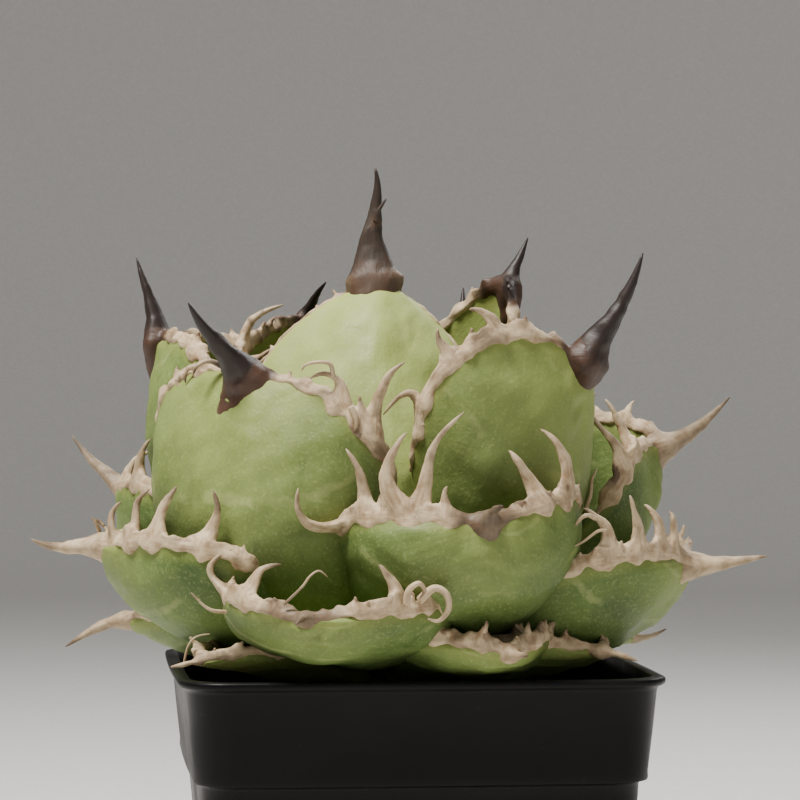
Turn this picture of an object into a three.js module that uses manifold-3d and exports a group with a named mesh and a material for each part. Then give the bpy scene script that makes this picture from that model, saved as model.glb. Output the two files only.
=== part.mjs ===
// A potted Agave titanota: a tight rosette of thick boat-shaped leaves, each with a horny
// margin, flat curved teeth and an end spine, in a square black plastic nursery pot.
// Millimetres, +Z up. The origin is the middle of the pot's underside, and -Y is the front.
import * as THREE from "three";
import Module from "manifold-3d";

const wasm = await Module();
wasm.setup();

// Driving sizes of the pot
const POT_HEIGHT = 100;
const POT_SIDE = 105; // over the rim
const POT_TURN = 6; // degrees that the pot stands turned to the left
const POT_FOOT_SIDE = 80; // at the foot
const POT_BOW = 0.4; // how far the middle of each side bows out
const POT_WALL = 1.2;
const POT_FLOOR = 2.2;
const RIM_LIP = 1.5; // height of the rim's edge
const COLLAR_FOOT = 77.5; // height where the collar ends in its step
const COLLAR_TOP_INSET = 1.6; // how far the collar stands in from the rim's edge at its top
const COLLAR_FOOT_INSET = 3.4; // the same above its step
const BODY_TOP_INSET = 5.2; // the same of the wall below the step
const STEP_SLOPE = 1.2; // height over which the step goes in
const POT_CORNER = 11; // corner radius at the rim
const DRAIN_HOLES = 5;
const DRAIN_RADIUS = 4.5;
const DRAIN_RING = 26; // distance of the drain holes from the middle

// Driving sizes of the soil and the stem
const SOIL_TOP = 88;
const SOIL_SWELL = 1.6; // rise of the soil towards the stem
const SOIL_ROUGH = 0.7; // height of its lumps
const STEM_FOOT = 70;
const STEM_PROFILE = [[8, STEM_FOOT], [11.5, 76], [12, 96], [10.5, 106], [8.5, 115], [6, 120], [2.5, 122]];
const STEM_SIDES = 14;

// Driving sizes of the bud, the youngest leaves still rolled in one cone
const BUD_FOOT = 122.6;
const BUD_TOP = 166;
const BUD_RADIUS = 8.7; // above its foot
const BUD_TIP_RADIUS = 1.5;
const BUD_LEAN = 4; // how far its top leans to the back
const BUD_ASIDE = -2; // and to the side
const BUD_SEAM = 0.12; // swell of the outermost leaf's edge, which winds round the cone
const BUD_SEAM_TURN = 2.2; // radians that it winds
const BUD_SPINE_LONG = 10;

// Driving sizes that all leaves share
const CLEARANCE = 0.45; // between pieces that touch
const HORN_ROOM = 0.6; // between a horn and the older leaves outside it
const LEAF_EDGE = 1.7; // thickness of the green at the margin
const LEAF_THIN = 2.4; // thickness of its middle at the foot and at the apex
const LEAF_START = 0.004;
const LEAF_END = 0.92; // share of the keel where the green ends and the end spine's root takes over
const BAND_START = 0.3; // share of the margin where the horn begins
const BAND_END = 0.995;
const BAND_WIDTH = 3.0;
const BAND_SPREAD = 0.35; // how much thicker than the edge the band is, on each face
const BELLY = 0.95; // how square the leaf's section is, from 0, a straight V, to 1
const BAND_REACH = 0.1; // distance from the margin within which the green makes room for its band
const TOOTH_SINK = 0.9; // depth of a tooth's root in the band
const SPINE_SINK = 1; // depth of an end spine's root under the outer face
const FLARE_FADE = 0.2; // share of an end spine over which its flared root fades
const TIP_RADIUS = 0.3;
const SEED = 11;

// The leaves from the youngest to the oldest, each in the plane of its own azimuth, which is
// 0 towards the front and grows to the right. A keel has four points (out, up), the controls of
// a cubic curve from the foot to the apex. A rim has three points (out, aside, up), the first
// controls of the margin, which ends at the same apex; rimLeft is the left margin where it
// differs. A spine has three points (out, aside, up) from the apex to its tip, and its shaft and
// flare are radii. A tooth is [place on the margin, right, back, up] from its root to its tip,
// and the three numbers after that, where a tooth has them, are the bend it passes on the way.
const LEAVES = [
  {
    name: "01", azimuth: 125, thick: 5, // behind the centre on the right
    keel: [[9, 118], [26, 114], [40, 150], [30, 186]],
    rim: [[8, 5, 121], [20, 44, 158], [26, 18, 184]],
    rimLeft: [[8, 5, 121], [20, 22, 158], [28, 8, 184]],
    spine: [[30.5, 0, 190], [33.5, 0, 193], [35.5, 0, 197.3]], shaft: 1.4, flare: 3,
    teethLeft: [],
    teethRight: [[0.62, -1, 0, 3.5]],
  },
  {
    name: "02", azimuth: -12, thick: 4.8, sway: -6, // the centre leaf, its back to the front
    keel: [[11, 116], [42, 108], [34, 168], [3, 186]],
    rim: [[8, 6, 119], [2, 34, 146], [0, 12, 183]],
    rimLeft: [[8, 7, 119], [22, 56, 152], [8, 24, 182]],
    spine: [[3, -8, 196], [2, -4.5, 204], [3, -5.8, 212]], shaft: 1.9, flare: 6.2,
    teethLeft: [],
    teethRight: [],
  },
  {
    name: "03", azimuth: -140, thick: 4.4, // behind the centre on the left
    keel: [[11, 113.5], [34, 108], [50, 140], [36, 178]],
    rim: [[9, 7, 116.5], [24, 54, 162], [31, 22, 178]],
    spine: [[34, 0, 182], [31, 0, 184.5], [28, 0, 187]], shaft: 1.3, flare: 2.4,
    teethLeft: [[0.5, 2, 3, 5], [0.65, 2, 1, 5], [0.8, 2, 0, 3]],
    teethRight: [[0.5, -4, 0, 10, -4, -1, 5], [0.57, 9, -4, 3, 3, -2, 0], [0.62, 9.5, 0, 10.5, -1.5, 0, 9]],
  },
  {
    name: "04", azimuth: 60, thick: 5.4, // upper right
    bandStart: 0.22,
    keel: [[12, 111.5], [42, 100], [47, 140], [46.5, 168]],
    rim: [[10, 7, 114.5], [24, 30, 158], [42, 14, 172]],
    rimLeft: [[10, 7, 114.5], [18, 47, 166], [38, 27, 184]],
    spine: [[50, 0, 174], [56, 2, 181], [58.5, 3.7, 191.7]], shaft: 2.7, flare: 5,
    teethLeft: [
      [0.3, -7.5, 0, 4.5, 1, 0, 15], [0.52, -3.5, 0, 7], [0.6, 0, 0, 4],
      [0.7, -6.7, 0, 5.5, -2, 0, 6.5], [0.8, -0.5, 0, 4],
    ],
    teethRight: [[0.45, 0, 3, 5], [0.62, 1, 1, 4], [0.78, 1, 2, 5]],
  },
  {
    name: "05", azimuth: -48, thick: 5.6, // upper left, the largest in front
    keel: [[12, 109.5], [52, 94], [64, 135], [46, 165]],
    rim: [[10, 7, 112.5], [30, 44, 146], [40, 25, 164]],
    rimLeft: [[10, 7, 112.5], [44, 68, 150], [46, 30, 172]],
    spine: [[50, 0, 168], [57, 0, 173.5], [62, 0, 180.3]], shaft: 3, flare: 3.6, lobe: 0.86,
    teethLeft: [[0.5, -1.5, 0, -4], [0.67, 0.5, 0, 4], [0.82, -4, 0, -3, -4, 0, 3]],
    teethRight: [[0.5, 6.5, 0, 17, 0.5, 0, 9], [0.57, 0, 0, 6], [0.66, -6.5, 0, 6, 2, 0, 9]],
  },
  {
    name: "06", azimuth: 165, thick: 5.4, // upper back
    keel: [[12, 108], [48, 98], [60, 136], [50, 166]],
    rim: [[10, 7, 111], [34, 52, 156], [46, 22, 170]],
    spine: [[53, 0, 173], [58, 1, 179], [61, 1, 187]], shaft: 2.1, flare: 3.2,
    rule: { count: 4, long: 8 },
  },
  {
    name: "07", azimuth: 17, thick: 5.6, // low in front, its end spine worn short
    bandStart: 0.26,
    keel: [[12, 107], [46, 104], [66, 112], [60, 134]],
    rim: [[10, 9, 109.5], [36, 46, 150], [60, 20, 137]],
    rimLeft: [[10, 9, 109.5], [38, 44, 144], [60, 18, 133]],
    spine: [[62, 0, 135.5], [65, 0.5, 137], [67.5, 1, 137.5]], shaft: 1.6, flare: 2.6,
    teethLeft: [
      [0.4, -9.4, -6, 7.6, -10, -5.5, -3.5], [0.53, -3.2, 0, 14.3, 0, 0, 7], [0.6, 0.8, 0, 5],
      [0.69, 1.5, 0, 17.5, -8, 0, 12], [0.74, 9.4, 1.5, 22, 0, 1, 9], [0.84, 0.4, 0, 7],
    ],
    teethRight: [[0.62, -5.8, 0, 14.6, 2.5, 0, 11], [0.76, -8, 0, 11.3, -3, 0, 8.5]],
  },
  {
    name: "08", azimuth: -106, thick: 4.8, // upper left at the back
    keel: [[12, 104.5], [46, 96], [66, 130], [59, 173]],
    rim: [[10, 7, 107.5], [26, 48, 166], [46, 20, 177]],
    spine: [[59.5, 0, 179], [62, 0, 185], [64.8, -1, 192.6]], shaft: 2, flare: 3.6,
    teethLeft: [[0.4, -1, 3, 5], [0.56, 0, 2, 6], [0.72, -1, 2, 4]],
    teethRight: [[0.5, 1, -1, 4], [0.66, 1, 0, 4]],
  },
  {
    name: "09", azimuth: 108, thick: 4.8, // right, seen from inside
    keel: [[12, 103.5], [40, 97], [62, 120], [64, 149]],
    rim: [[10, 7, 106.5], [34, 46, 160], [60, 18, 160]],
    rimLeft: [[10, 7, 106.5], [60, 32, 146], [42, 15, 150]],
    spine: [[69, 0, 150], [75, 0, 154.5], [81, 1, 160.2]], shaft: 1.9, flare: 3,
    teethLeft: [[0.36, 1, 0, 5], [0.5, -8.5, 0, 13, -1, 0, 8], [0.7, -7, 0, 11.5, -2.5, 0, 7]],
    teethRight: [[0.5, -1, 2, 5], [0.66, 1, 1, 6], [0.8, 2, 1, 5]],
  },
  {
    name: "10", azimuth: -17, thick: 4.8, // lowest in front on the left
    keel: [[12, 99.5], [40, 101], [68, 101.5], [68, 114]],
    rim: [[10, 7, 101.5], [40, 38, 121.5], [68, 20, 115]],
    rimLeft: [[10, 7, 101.5], [43, 44, 126], [67, 19, 116]],
    spine: [[70, 0, 114.5], [72.5, 0, 114.5], [75, 0, 113.5]], shaft: 1.3, flare: 2.2,
    teethLeft: [
      [0.36, -8.5, -1, 1.5, -4, -1, 0], [0.5, 1, 0, 9.3, -8.5, 0, 5], [0.6, 0.3, 0, 4],
      [0.7, 7.7, 0, 7.7, 1, 0, 6.5],
    ],
    teethRight: [[0.42, -4, 0, 4.5, 3, 0, 7], [0.54, 1, 0, 4], [0.66, -4.9, 0, 9, -1, 0, 7.5], [0.83, 0, 0, 3.5]],
  },
  {
    name: "11", azimuth: -160, thick: 4.8, // back
    keel: [[12, 102], [44, 96], [66, 110], [64, 137]],
    rim: [[10, 7, 105], [36, 46, 146], [62, 20, 142]],
    spine: [[69, 0, 139], [74, -1, 143], [79, -2, 149]], shaft: 1.9, flare: 3,
    rule: { count: 4, long: 9 },
  },
  {
    name: "12", azimuth: 72, thick: 4.8, // right, low
    keel: [[12, 100.5], [40, 98], [62, 104], [66, 123]],
    rim: [[10, 7, 103], [40, 50, 124], [66, 18, 130]],
    spine: [[72, 0, 123], [77, 0, 124], [83.7, 1, 125.3]], shaft: 2, flare: 3.2,
    teethLeft: [
      [0.58, -5.4, 0, 10.9, 2.5, 0, 9], [0.7, -2.4, 0, 12.7, 1.5, 0, 7],
      [0.79, -3.2, 0, 10.6, 2.2, 0, 8], [0.9, -2, 0, 10, 1.2, 0, 7],
    ],
    teethRight: [[0.45, 0, 2, 5], [0.6, 0, 1, 6], [0.75, 1, 1, 5]],
  },
  {
    name: "13", azimuth: -78, thick: 4.8, // left, low
    keel: [[12, 101], [40, 98], [66, 106], [68, 127]],
    rim: [[10, 7, 104], [40, 56, 131], [66, 26, 130]],
    rimLeft: [[10, 7, 104], [36, 46, 132], [64, 22, 130]],
    spine: [[73, 0, 127], [79, 0, 125.5], [84.3, 0, 128.7]], shaft: 2, flare: 3.2, lobe: 0.88,
    teethLeft: [[0.5, 0, 2, 5], [0.7, -1, 1, 6], [0.94, -3, 0, 5]],
    teethRight: [
      [0.4, 2, 0, 5], [0.53, 3.3, 0, 12.4, 4, 0, 6], [0.7, 5.2, 0, 11.8, 0.5, 0, 9],
      [0.82, 4.6, 0, 11.4, -0.5, 0, 6], [0.93, 1.5, 0, 9, -2.5, 0, 5],
    ],
  },
  {
    name: "14", azimuth: 143, thick: 4.8, // back on the right
    keel: [[12, 99.5], [42, 96], [66, 104], [68, 127]],
    rim: [[10, 7, 102.5], [38, 46, 132], [66, 20, 131]],
    spine: [[73, 0, 128], [78, 1, 131], [83, 2, 136]], shaft: 1.9, flare: 3,
    rule: { count: 4, long: 8 },
  },
  {
    name: "15", azimuth: 22, thick: 5, // low in front under the others
    keel: [[13, 93.5], [34, 97], [52, 100], [60, 106]],
    rim: [[11, 6, 95.5], [34, 28, 112], [54, 16, 110]],
    spine: [[63, 0, 106.5], [66, 0, 106], [69, 0, 106.5]], shaft: 1.2, flare: 2,
    rule: { count: 4, long: 5 },
  },
  {
    name: "16", azimuth: -114, thick: 4.8, // left at the back
    keel: [[12, 100], [44, 94], [72, 108], [71, 138]],
    rim: [[10, 7, 103], [36, 46, 146], [68, 22, 142]],
    spine: [[76, 0, 141], [81, 0, 145], [86, 0, 151]], shaft: 1.8, flare: 3,
    teethLeft: [[0.45, -2, 2, 5], [0.6, -1, 3, 7], [0.75, -2, 2, 5]],
    teethRight: [[0.5, -1, 0, 6], [0.62, 3.4, 0, 10.2, -1.5, 0, 6], [0.75, 6, 0, 7, 0, 0, 5]],
  },
  {
    name: "17", azimuth: -46, thick: 4, small: true, // a small dry one at the front left corner
    keel: [[13, 92.5], [36, 98], [52, 101], [61, 103.4]],
    rim: [[11, 5, 94.5], [34, 20, 107], [56, 11, 106]],
    spine: [[63, -0.5, 103.4], [65, -1, 102.8], [67, -2, 102.6]], shaft: 0.8, flare: 1.4,
    teethLeft: [[0.6, -1, 0, 3.5], [0.8, -2, -1, 3]],
    teethRight: [[0.6, 0, -1, 3], [0.78, 1, -1, 2.6]],
  },
  {
    name: "18", azimuth: 176, thick: 4.4, // low at the back
    keel: [[13, 93], [38, 97], [58, 101], [63, 114]],
    rim: [[11, 7, 95], [36, 34, 118], [60, 17, 118]],
    spine: [[67, 0, 115], [71, 0, 115.5], [75, 0, 118]], shaft: 1.5, flare: 2.6,
    rule: { count: 4, long: 6 },
  },
  {
    name: "19", azimuth: 50, thick: 4.5, small: true, // low at the front right
    keel: [[13, 92], [34, 98], [50, 101], [56, 105]],
    rim: [[11, 6, 94], [30, 30, 111], [50, 16, 108]],
    spine: [[59, 0, 105.3], [62, 0, 104.6], [65.5, 0, 103.6]], shaft: 1.2, flare: 2,
    teethLeft: [[0.64, -1.7, 0, 7.9, 0, 0, 4], [0.74, 1, 0, 4], [0.84, 0, 0, 3.6]],
    teethRight: [[0.6, 1, 1, 4], [0.78, 1.5, 0, 3.5]],
  },
  {
    name: "20", azimuth: -95, thick: 5, small: true, // low on the left
    keel: [[13, 92], [36, 98], [54, 101.5], [63, 109]],
    rim: [[11, 6, 94], [34, 30, 113], [56, 16, 112]],
    spine: [[67, 0, 110], [72, 0, 106.5], [77.6, 0, 103]], shaft: 1.6, flare: 2.6,
    teethLeft: [[0.6, -1, 1, 4], [0.9, -1.5, 0, 5, -4, 0, 2.5]],
    teethRight: [[0.6, 1, 0, 4], [0.78, 0, 0, 3.6]],
  },
  {
    name: "21", azimuth: 110, thick: 4.5, small: true, // low on the right
    keel: [[13, 92], [34, 98], [46, 101], [57, 104]],
    rim: [[11, 6, 94], [30, 24, 109], [50, 12, 107]],
    spine: [[60, 0, 104], [62.5, 0, 104.4], [65.5, 0, 106]], shaft: 0.9, flare: 1.6,
    teethLeft: [[0.7, 1, 0, 3.5]],
    teethRight: [[0.55, 0, 1, 3.5], [0.75, 1, 1, 3]],
  },
  {
    name: "22", azimuth: -150, thick: 5, small: true, // low at the back on the left
    keel: [[13, 92], [36, 98], [54, 101], [62, 109]],
    rim: [[11, 6, 94], [34, 30, 113], [56, 16, 112]],
    spine: [[65, 0, 110], [69, 0, 109.5], [73, 0, 111]], shaft: 1.4, flare: 2.4,
    rule: { count: 4, long: 5 },
  },
];

const vec = (x, y, z) => new THREE.Vector3(x, y, z);
const mix = (a, b, k) => a + (b - a) * k;

let seedState = SEED;
function draw(low, high) {
  seedState = (seedState * 1103515245 + 12345) % 2147483648;
  return mix(low, high, seedState / 2147483648);
}

// Solids

// The triangles that close a ring: a strip between its first points, as many as split, and the
// rest, so that a ring bent like a trough is closed inside its own outline.
function capOf(count, split) {
  const faces = [];
  let i = 0;
  let k = count - 1;
  while (i < split - 1 || k > split) {
    const ahead = i < split - 1 ? (i + 1) / (split - 1) : 2;
    const behind = k > split ? (count - k) / (count - 1 - split) : 2;
    if (ahead <= behind) {
      faces.push([i, i + 1, k]);
      i++;
    } else {
      faces.push([i, k - 1, k]);
      k--;
    }
  }
  return faces;
}

// A closed solid through rings with the same number of points, each a list of vectors going
// the same way round.
function loft(rings, split = Math.ceil(rings[0].length / 2)) {
  const count = rings[0].length;
  const vertProperties = [];
  rings.flat().forEach((p) => vertProperties.push(p.x, p.y, p.z));
  const triVerts = [];
  for (let i = 0; i + 1 < rings.length; i++) {
    for (let j = 0; j < count; j++) {
      const a = i * count + j;
      const b = i * count + ((j + 1) % count);
      triVerts.push(a, b, b + count, a, b + count, a + count);
    }
  }
  const last = (rings.length - 1) * count;
  capOf(count, split).forEach(([a, b, c]) => triVerts.push(a, c, b, last + a, last + b, last + c));
  const mesh = new wasm.Mesh({
    numProp: 3,
    vertProperties: new Float32Array(vertProperties),
    triVerts: new Uint32Array(triVerts),
  });
  const solid = new wasm.Manifold(mesh);
  return solid.volume() > 0 ? solid : loft([...rings].reverse(), split);
}

function largest(solid) {
  const bodies = solid.decompose();
  return bodies.reduce((best, body) => (body.volume() > best.volume() ? body : best));
}

function boxesMeet(a, b) {
  const p = a.boundingBox();
  const q = b.boundingBox();
  return [0, 1, 2].every((k) => p.min[k] < q.max[k] && q.min[k] < p.max[k]);
}

function meshOf(name, solid, material) {
  const { vertProperties, triVerts } = solid.getMesh();
  const geometry = new THREE.BufferGeometry();
  geometry.setAttribute("position", new THREE.BufferAttribute(vertProperties, 3));
  geometry.setIndex(new THREE.BufferAttribute(triVerts, 1));
  const mesh = new THREE.Mesh(geometry, material);
  mesh.name = name;
  return mesh;
}

// Leaves

function cubic(points, t) {
  const k = 1 - t;
  const weights = [k ** 3, 3 * k * k * t, 3 * k * t * t, t ** 3];
  return points[0].map((_, axis) => weights.reduce((sum, w, i) => sum + w * points[i][axis], 0));
}

function quadratic(a, b, c, t) {
  const k = 1 - t;
  return a.clone().multiplyScalar(k * k).addScaledVector(b, 2 * k * t).addScaledVector(c, t * t);
}

function axesOf(leaf) {
  const angle = THREE.MathUtils.degToRad(leaf.azimuth);
  return { out: vec(Math.sin(angle), -Math.cos(angle), 0), aside: vec(Math.cos(angle), Math.sin(angle), 0) };
}

function place(leaf, [out, aside, up]) {
  const axes = axesOf(leaf);
  return vec(0, 0, up).addScaledVector(axes.out, out).addScaledVector(axes.aside, aside);
}

// The outer face: t runs from the foot to the apex, u from the left margin (-1) by the keel (0)
// to the right margin (1).
function facePoint(leaf, t, u) {
  const sway = leaf.sway ?? 0;
  const [out, up] = cubic(leaf.keel, t);
  const keel = [out, sway * t * t, up];
  const apex = [leaf.keel[3][0], sway, leaf.keel[3][1]];
  const side = u < 0 ? -1 : 1;
  const controls = (side < 0 ? leaf.rimLeft ?? leaf.rim : leaf.rim).map(([r, s, z]) => [r, side * s, z]);
  const rim = cubic([...controls, apex], t);
  const bend = [keel[0], keel[1] + BELLY * (rim[1] - keel[1]), keel[2]];
  const v = Math.abs(u);
  const point = [0, 1, 2].map((k) => (1 - v) ** 2 * keel[k] + 2 * v * (1 - v) * bend[k] + v * v * rim[k]);
  return place(leaf, point);
}

// The unit vectors on the outer face: along towards the apex, across to the right, and inward.
function faceFrame(leaf, t, u) {
  const step = 0.004;
  const along = facePoint(leaf, Math.min(t + step, 1), u).sub(facePoint(leaf, t - step, u)).normalize();
  const left = Math.max(u - step, -1);
  const right = Math.min(u + step, 1);
  const across = facePoint(leaf, t, right).sub(facePoint(leaf, t, left)).normalize();
  const inward = along.clone().cross(across).normalize();
  return { along, across, inward };
}

function thickness(leaf, t, u) {
  const middle = LEAF_THIN + (leaf.thick - LEAF_THIN) * Math.sin(Math.PI * t ** 0.8);
  return LEAF_EDGE + (middle - LEAF_EDGE) * (1 - Math.abs(u) ** 2.2);
}

// The places along a leaf where its green and its margins have a ring of points.
function stationsOf(leaf) {
  const count = leaf.small ? 5 : leaf.rule ? 5 : 7;
  return Array.from({ length: count }, (_, i) => mix(LEAF_START, LEAF_END, 1 - (1 - i / (count - 1)) ** 1.15));
}

// The green of a leaf, grown on all sides by the given amount.
function leafSolid(leaf, grow = 0) {
  const outerSteps = leaf.small ? 4 : 6;
  const innerSteps = 4;
  const rings = stationsOf(leaf).map((t) => {
    const ring = [];
    const add = (u, depth) => {
      const { across, inward } = faceFrame(leaf, t, u);
      const aside = Math.abs(u) === 1 ? grow * Math.sign(u) : 0;
      ring.push(facePoint(leaf, t, u).addScaledVector(inward, depth).addScaledVector(across, aside));
    };
    for (let j = 0; j <= outerSteps; j++) add(mix(-1, 1, j / outerSteps), -grow);
    for (let j = 0; j <= innerSteps; j++) {
      const u = mix(1, -1, j / innerSteps);
      add(u, thickness(leaf, t, u) + grow);
    }
    return ring;
  });
  if (grow) {
    // Grown leaves also reach further at both ends, so that nothing touches the plain ones there.
    const shifted = (ring, t, amount) => {
      const { along } = faceFrame(leaf, t, 0);
      return ring.map((p) => p.clone().addScaledVector(along, amount));
    };
    rings.unshift(shifted(rings[0], LEAF_START, -grow));
    rings.push(shifted(rings[rings.length - 1], LEAF_END, grow));
  }
  return loft(rings, outerSteps + 1);
}

// The place where horn grows on a margin: its point, the way out of the leaf and the way inward.
function marginFrame(leaf, side, t) {
  const { along, inward } = faceFrame(leaf, t, side);
  const outward = inward.clone().cross(along).multiplyScalar(side).normalize();
  const point = facePoint(leaf, t, side).addScaledVector(inward, LEAF_EDGE / 2);
  return { point, along, outward, inward };
}

function bandSolid(leaf, side, grow, inner) {
  const half = LEAF_EDGE / 2 + BAND_SPREAD + grow;
  const places = [...stationsOf(leaf).filter((t) => t > (leaf.bandStart ?? BAND_START)), BAND_END];
  return loft(places.map((t, i) => {
    const { point, along, outward, inward } = marginFrame(leaf, side, t);
    const way = i === 0 ? -1 : i === places.length - 1 ? 1 : 0;
    point.addScaledVector(along, grow * way);
    const width = BAND_WIDTH * Math.min(1, 0.55 + 0.2 * i) * (leaf.small ? 0.7 : 1);
    const corner = (e, h) => point.clone().addScaledVector(outward, e).addScaledVector(inward, h);
    return [
      corner(inner, -half),
      corner(width + grow, -half * 0.45),
      corner(width + grow, half * 0.45),
      corner(inner, half),
    ];
  }));
}

// A horn from a root ring along a path, with a sharp end. Each ring is a flat diamond, wide
// along the first axis.
function hornSolid(path, radii, axis, sides, rootWay) {
  const rings = path.map((p, i) => {
    const chord = path[Math.min(i + 1, path.length - 1)].clone().sub(path[Math.max(i - 1, 0)]);
    const ahead = i === 0 && rootWay ? rootWay : chord.normalize();
    const wide = axis.clone().addScaledVector(ahead, -axis.dot(ahead)).normalize();
    const deep = ahead.clone().cross(wide);
    return Array.from({ length: sides }, (_, k) => {
      const angle = (2 * Math.PI * k) / sides;
      return p.clone().addScaledVector(wide, radii[i][0] * Math.cos(angle))
        .addScaledVector(deep, radii[i][1] * Math.sin(angle));
    });
  });
  return loft(rings);
}

function toothSolid(leaf, side, tooth, grow) {
  const [t, right, back, up, bendRight, bendBack, bendUp] = tooth;
  const { point, along, outward } = marginFrame(leaf, side, t);
  const reach = vec(right, back, up);
  const long = reach.length();
  const root = point.clone().addScaledVector(outward, TOOTH_SINK);
  const tip = root.clone().add(reach);
  const bend = bendUp === undefined
    ? root.clone().addScaledVector(outward, long * 0.3).addScaledVector(reach, 0.3)
    : root.clone().add(vec(bendRight, bendBack, bendUp));
  const half = Math.min(2.6, 0.9 + long * 0.13);
  const steps = long > 11 ? [0, 0.4, 0.75, 1] : long > 6 ? [0, 0.55, 1] : [0, 1];
  const path = steps.map((v) => quadratic(root, bend, tip, v));
  const radii = steps.map((v) => {
    const share = (1 - v) ** 0.8;
    return [mix(TIP_RADIUS, half, share) + grow, mix(TIP_RADIUS, 1.15, share) + grow];
  });
  path[0].addScaledVector(outward, -grow * 0.8);
  path[path.length - 1].addScaledVector(reach, grow / long);
  // The root ring lies along the margin, so that no corner of it reaches into the green.
  return hornSolid(path, radii, along, leaf.rule ? 3 : 4, outward);
}

function spineSolid(leaf, grow) {
  const lobe = leaf.lobe ?? 0.9;
  const sunk = (t, depth) => facePoint(leaf, t, 0).addScaledVector(faceFrame(leaf, t, 0).inward, depth);
  const apexShift = sunk(0.985, SPINE_SINK).sub(facePoint(leaf, 1, 0));
  const controls = [[leaf.keel[3][0], leaf.sway ?? 0, leaf.keel[3][1]], ...leaf.spine];
  // Two rings under the outer face, then the free part of the spine
  const path = [sunk(lobe, SPINE_SINK * 0.6), sunk((lobe + 1) / 2, SPINE_SINK)];
  const full = leaf.flare + leaf.shaft;
  const radii = [[full * 0.35, 0.9], [full * 0.85, 1.5]];
  [0, 0.2, 0.5, 1].forEach((v) => {
    path.push(place(leaf, cubic(controls, v)).addScaledVector(apexShift, (1 - v) ** 2));
    const shaft = leaf.shaft * (1 - v) ** 0.8 + TIP_RADIUS;
    const flare = leaf.flare * Math.exp(-v / FLARE_FADE);
    radii.push([shaft + flare, shaft + flare * 0.45]);
  });
  const last = path.length - 1;
  path[0].addScaledVector(path[1].clone().sub(path[0]).normalize(), -grow);
  path[last].addScaledVector(path[last].clone().sub(path[last - 1]).normalize(), grow);
  const grown = radii.map(([a, b]) => [a + grow, b + grow]);
  return hornSolid(path, grown, axesOf(leaf).aside, leaf.small ? 4 : 5);
}

// Teeth by a rule, for the sides that no view shows closely.
function ruledTeeth({ count, long }) {
  return Array.from({ length: count }, (_, i) => {
    const t = mix(0.36, 0.86, i / (count - 1)) + draw(-0.02, 0.02);
    return [t, draw(-2.5, 2.5), draw(-2.5, 2.5), long * draw(0.6, 1.25)];
  });
}

LEAVES.filter((leaf) => leaf.rule).forEach((leaf) => {
  leaf.teethLeft = ruledTeeth(leaf.rule);
  leaf.teethRight = ruledTeeth(leaf.rule);
});

// The horn of a leaf, grown on all sides, with the inner side of its bands at the given distance
// from the green's margin.
function hornOf(leaf, grow = 0, inner = CLEARANCE) {
  const bands = bandSolid(leaf, -1, grow, inner).add(bandSolid(leaf, 1, grow, inner));
  let horn = spineSolid(leaf, grow).add(bands);
  leaf.teethLeft.forEach((tooth) => (horn = horn.add(toothSolid(leaf, -1, tooth, grow))));
  leaf.teethRight.forEach((tooth) => (horn = horn.add(toothSolid(leaf, 1, tooth, grow))));
  return horn;
}

// Pot, soil and stem

// One level of the pot: a square with round corners and bowed sides, turned as the pot stands.
function potRing(half, z, cornerSteps = 3) {
  const turn = THREE.MathUtils.degToRad(POT_TURN);
  const radius = (POT_CORNER * half) / (POT_SIDE / 2);
  const flat = half - radius;
  const ring = [];
  for (let side = 0; side < 4; side++) {
    const toSide = turn + (side * Math.PI) / 2;
    const add = (out, along) => ring.push(vec(
      out * Math.cos(toSide) - along * Math.sin(toSide),
      out * Math.sin(toSide) + along * Math.cos(toSide),
      z,
    ));
    [-0.6, 0, 0.6].forEach((share) => add(half + POT_BOW * (1 - share ** 2), share * flat));
    for (let i = 0; i <= cornerSteps; i++) {
      const angle = (Math.PI / 2) * (i / cornerSteps);
      add(flat + radius * Math.cos(angle), flat + radius * Math.sin(angle));
    }
  }
  return ring;
}

// Half the pot's width over its wall, at the heights where the wall changes
const RIM_HALF = POT_SIDE / 2;
const COLLAR_TOP_HALF = RIM_HALF - COLLAR_TOP_INSET;
const COLLAR_FOOT_HALF = RIM_HALF - COLLAR_FOOT_INSET;
const BODY_TOP_HALF = RIM_HALF - BODY_TOP_INSET;
const FOOT_HALF = POT_FOOT_SIDE / 2;

function potSolid() {
  const footBevel = 1;
  const rimBevel = 0.3;
  const levels = [
    [FOOT_HALF - footBevel, 0],
    [FOOT_HALF, footBevel],
    [BODY_TOP_HALF, COLLAR_FOOT - STEP_SLOPE],
    [COLLAR_FOOT_HALF, COLLAR_FOOT],
    [COLLAR_TOP_HALF, POT_HEIGHT - RIM_LIP * 1.4],
    [RIM_HALF, POT_HEIGHT - RIM_LIP],
    [RIM_HALF, POT_HEIGHT - rimBevel],
    [RIM_HALF - rimBevel, POT_HEIGHT],
    [COLLAR_TOP_HALF - POT_WALL, POT_HEIGHT],
    [COLLAR_FOOT_HALF - POT_WALL, COLLAR_FOOT + STEP_SLOPE],
    [BODY_TOP_HALF - POT_WALL, COLLAR_FOOT],
    [FOOT_HALF - POT_WALL, POT_FLOOR],
  ];
  let pot = loft(levels.map(([half, z]) => potRing(half, z)));
  for (let i = 0; i < DRAIN_HOLES; i++) {
    const angle = (2 * Math.PI * i) / DRAIN_HOLES;
    const middle = vec(DRAIN_RING * Math.cos(angle), DRAIN_RING * Math.sin(angle), 0);
    const drill = [-1, POT_FLOOR + 1].map((z) => circle(DRAIN_RADIUS, z, 8).map((p) => p.add(middle)));
    pot = pot.subtract(loft(drill));
  }
  return pot;
}

// Half the width of the space in the pot at a height up to the step, a clearance inside its wall
function potRoom(z) {
  const share = (z - POT_FLOOR) / (COLLAR_FOOT - POT_FLOOR);
  return mix(FOOT_HALF, BODY_TOP_HALF, share) - POT_WALL - CLEARANCE;
}

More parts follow.
